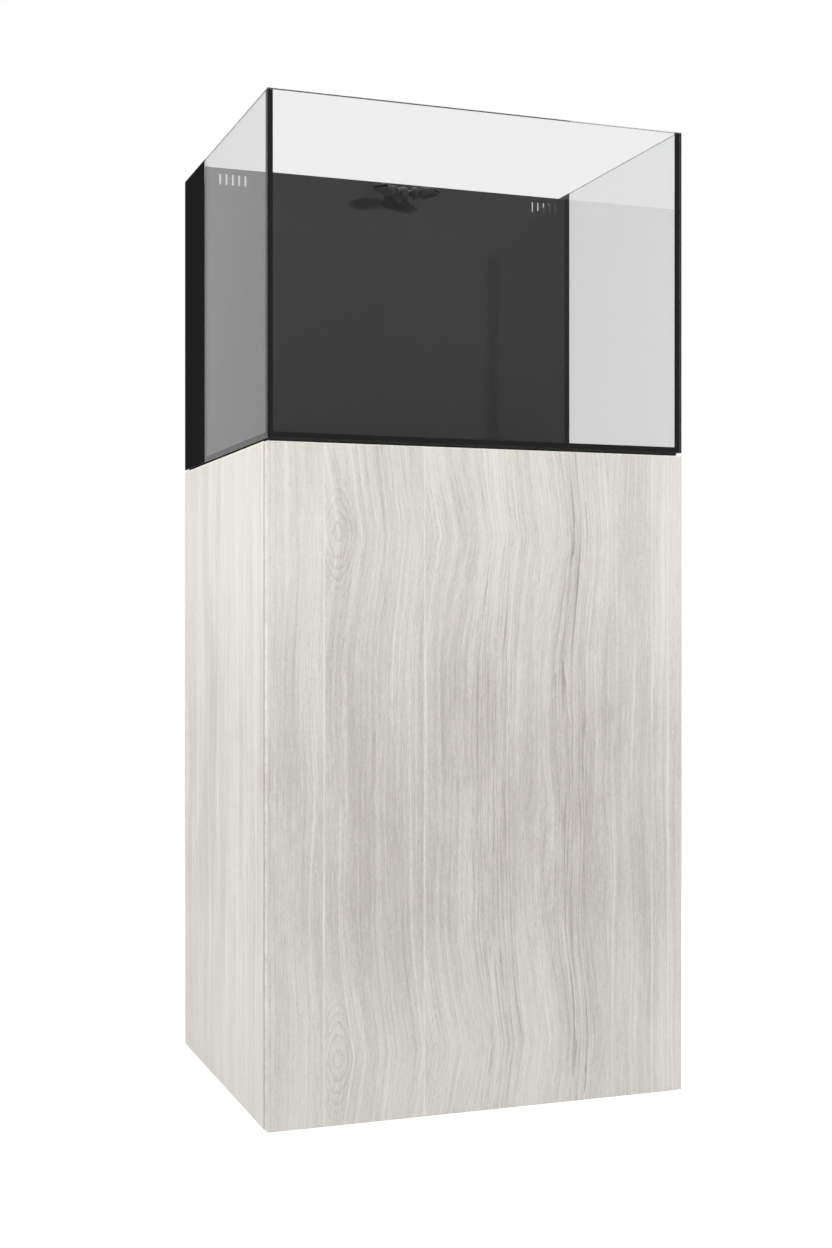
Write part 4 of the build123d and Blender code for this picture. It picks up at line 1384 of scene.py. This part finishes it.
@dataclass
class ReturnPlumbing:
    """Pump, hose, bulkhead and the two-armed outlet."""

    def dress_pump(self) -> None:
        """Plastic, rubber and ceramic of the pump."""
        dress(Finishes.pump, "pump_body", "pump_strainer", "pump_cable_gland")
        dress(Finishes.rotor, "pump_impeller")
        dress(Finishes.ceramic, "pump_shaft")
        dress(Finishes.rubber, "pump_feet", "bulkhead_gasket")

    def dress_outlet(self) -> None:
        """Hose with its steel bands, and the satin black outlet."""
        dress(Finishes.hose, "return_hose")
        dress(Finishes.stainless, "hose_clips")
        dress(
            Finishes.outlet, "bulkhead_fitting", "bulkhead_nut", "return_y_fitting",
            "left_outlet_elbow", "right_outlet_elbow", "left_flare_nozzle", "right_flare_nozzle",
        )


# ---- Cabinet ----

@dataclass
class Cabinet:
    """Laminate carcass and door with their fittings and feet."""

    def dress_panels(self) -> None:
        """Oak print on every panel, its grain upright on the standing ones."""
        dress(Finishes.door_oak, "door")
        dress(Finishes.back_oak, "back_panel")
        dress(Finishes.side_oak, "left_side_panel", "right_side_panel")
        dress(Finishes.shelf_oak, "roof_panel", "floor_panel")

    def dress_fittings(self) -> None:
        """Metal and plastic of the joinery, hinges, latch, grommets and feet."""
        dress(
            Finishes.zinc, "cam_bolts", "cam_locks", "foot_inserts", "cup_screws", "plate_screws",
            "latch_spring",
        )
        dress(
            Finishes.nickel, "hinge_arms", "hinge_cups", "hinge_links", "hinge_plates",
            "latch_strike",
        )
        dress(Finishes.latch, "latch_housing", "latch_plunger")
        dress(Finishes.grommet, "cable_grommets")
        dress(
            Finishes.foot, "front_left_foot", "front_right_foot", "back_left_foot",
            "back_right_foot",
        )


# ---- Studio ----

@dataclass
class Softbox:
    """A soft lamp, seen in reflections only where it glints."""

    name: str
    place: tuple[float, float, float]
    target: tuple[float, float, float]
    size: float
    watts: float
    glints: bool = False

    def make(self) -> None:
        """Add the lamp and aim it."""
        data = bpy.data.lights.new(self.name, "AREA")
        data.shape = "DISK"
        data.size = self.size
        data.energy = self.watts
        lamp = bpy.data.objects.new(self.name, data)
        lamp.location = self.place
        aim = Vector(self.target) - Vector(self.place)
        lamp.rotation_euler = aim.to_track_quat("-Z", "Y").to_euler()
        lamp.visible_glossy = self.glints
        lamp.visible_transmission = False
        bpy.context.scene.collection.objects.link(lamp)


@dataclass
class Studio:
    """Camera, white surround, pale floor and soft lamps."""

    eye: tuple[float, float, float] = (-0.8614, -2.3675, 0.6591)
    turn: float = -19.85
    lens: float = 49.0
    sensor: float = 36.0
    front_level: float = 0.12
    back_level: float = 0.93
    left_level: float = 0.59
    floor_level: float = 0.45
    back_turn: tuple[float, float] = (-0.45, 0.6)
    left_turn: tuple[float, float] = (-0.18, 0.05)
    down_turn: tuple[float, float] = (-0.35, -0.05)
    floor_r: float = 9.0
    floor_sides: int = 96
    floor_glow: float = 0.8
    fade_from: float = 0.9
    fade_to: float = 2.4
    paper: tuple[Colour, Colour] = ((0.93, 0.93, 0.93), (0.96, 0.96, 0.96))

    def make_camera(self) -> None:
        """Level camera in front and to the left."""
        data = bpy.data.cameras.new("camera")
        data.lens = self.lens
        data.sensor_width = self.sensor
        camera = bpy.data.objects.new("camera", data)
        camera.location = self.eye
        camera.rotation_euler = (math.radians(90.0), 0.0, math.radians(self.turn))
        bpy.context.scene.collection.objects.link(camera)
        bpy.context.scene.camera = camera
        bpy.context.scene.view_settings.view_transform = "Standard"

    def make_world(self) -> None:
        """White where it is seen directly, and darker towards the front for the glass."""
        world = bpy.data.worlds.new("studio")
        bpy.context.scene.world = world
        tree = Tree(world)
        x, y, z = tree.axes("Generated")
        level = y.ramp(*self.back_turn, self.front_level, self.back_level)
        level = level - x.ramp(*self.left_turn, self.back_level - self.left_level, 0.0)
        level = level + z.ramp(*self.down_turn, self.floor_level, 0.0)
        path = tree.add("ShaderNodeLightPath").outputs
        seen = Level(tree, path["Is Camera Ray"])
        bounces = Level(tree, path["Diffuse Depth"]) + Level(tree, path["Glossy Depth"])
        through = Level(tree, path["Is Transmission Ray"]) * (1.0 - (bounces > 0.5))
        strength = level * (1.0 - seen - through) + seen + self.back_level * through
        shader = tree.add("ShaderNodeBackground", values={0: (1.0, 1.0, 1.0, 1.0), 1: strength})
        tree.output(shader.outputs[0], "ShaderNodeOutputWorld")

    def make_floor(self) -> None:
        """Pale round floor that fades away towards its rim."""
        mesh = bmesh.new()
        bmesh.ops.create_circle(mesh, cap_ends=True, radius=self.floor_r, segments=self.floor_sides)
        data = bpy.data.meshes.new("studio_floor")
        mesh.to_mesh(data)
        mesh.free()
        material = bpy.data.materials.new("pale_floor")
        tree = Tree(material)
        x, y, z = tree.place()
        reach = (x * x + y * y) ** 0.5
        paper = tree.cloud(tree.joined(x, y, z), 3.0, 3.0)
        pale = tree.principled(
            Base_Color=tree.blend(paper, *self.paper),
            Roughness=0.9,
            Specular_IOR_Level=0.0,
            Emission_Color=(1.0, 1.0, 1.0),
            Emission_Strength=self.floor_glow,
        )
        clear = tree.add("ShaderNodeBsdfTransparent").outputs[0]
        fade = reach.ramp(self.fade_from, self.fade_to)
        tree.output(tree.add("ShaderNodeMixShader", values={0: fade, 1: pale, 2: clear}).outputs[0])
        data.materials.append(material)
        floor = bpy.data.objects.new("studio_floor", data)
        bpy.context.scene.collection.objects.link(floor)
        floor.visible_diffuse = False
        floor.visible_glossy = False

    def make_lamps(self) -> None:
        """Large soft lamps at the left, in front and above, and a small strong one at the right."""
        Softbox("left_lamp", (-3.4, -0.7, 0.3), (0.0, 0.0, 0.2), size=2.6, watts=110.0).make()
        Softbox("front_lamp", (0.5, -3.8, 0.1), (0.0, 0.0, 0.1), size=2.6, watts=34.0).make()
        Softbox("key_lamp", (2.85, -7.0, 3.4), (0.0, 0.0, 0.7), size=0.45, watts=395.0).make()
        Softbox(
            "top_lamp", (0.0, 0.2, 3.6), (0.0, 0.0, 0.0), size=1.7, watts=60.0, glints=True,
        ).make()


def report(title: str, pieces: Iterable[str]) -> None:
    """Log a sub-assembly and its pieces."""
    LOG.info("%s: %s", title, ", ".join(pieces))


def main() -> None:
    """Build each sub-assembly in order, and log its pieces."""
    logging.basicConfig(level=logging.INFO)
    studio = Studio()
    steps: list[tuple[str, Callable[[], None]]] = [
        ("camera", studio.make_camera), ("surround", studio.make_world),
        ("floor", studio.make_floor), ("lamps", studio.make_lamps),
    ]
    for title, step in steps:
        step()
        LOG.info("studio %s", title)

    tank = GlassTank()
    tank.dress_panes()
    report("tank", ["panes", "seams", "film", tank.make_mat().name])

    chamber = FilterChamber()
    chamber.dress_walls()
    for side in Side:
        report("filter chamber", [chamber.make_sock(side).name, chamber.make_sponge(side).name])

    plumbing = ReturnPlumbing()
    plumbing.dress_pump()
    plumbing.dress_outlet()
    report("plumbing", ["pump", "hose", "bulkhead", "outlet"])

    cabinet = Cabinet()
    cabinet.dress_panels()
    cabinet.dress_fittings()
    report("cabinet", ["carcass", "door", "hinges", "latch", "grommets", "feet"])


if __name__ == "__main__":
    main()
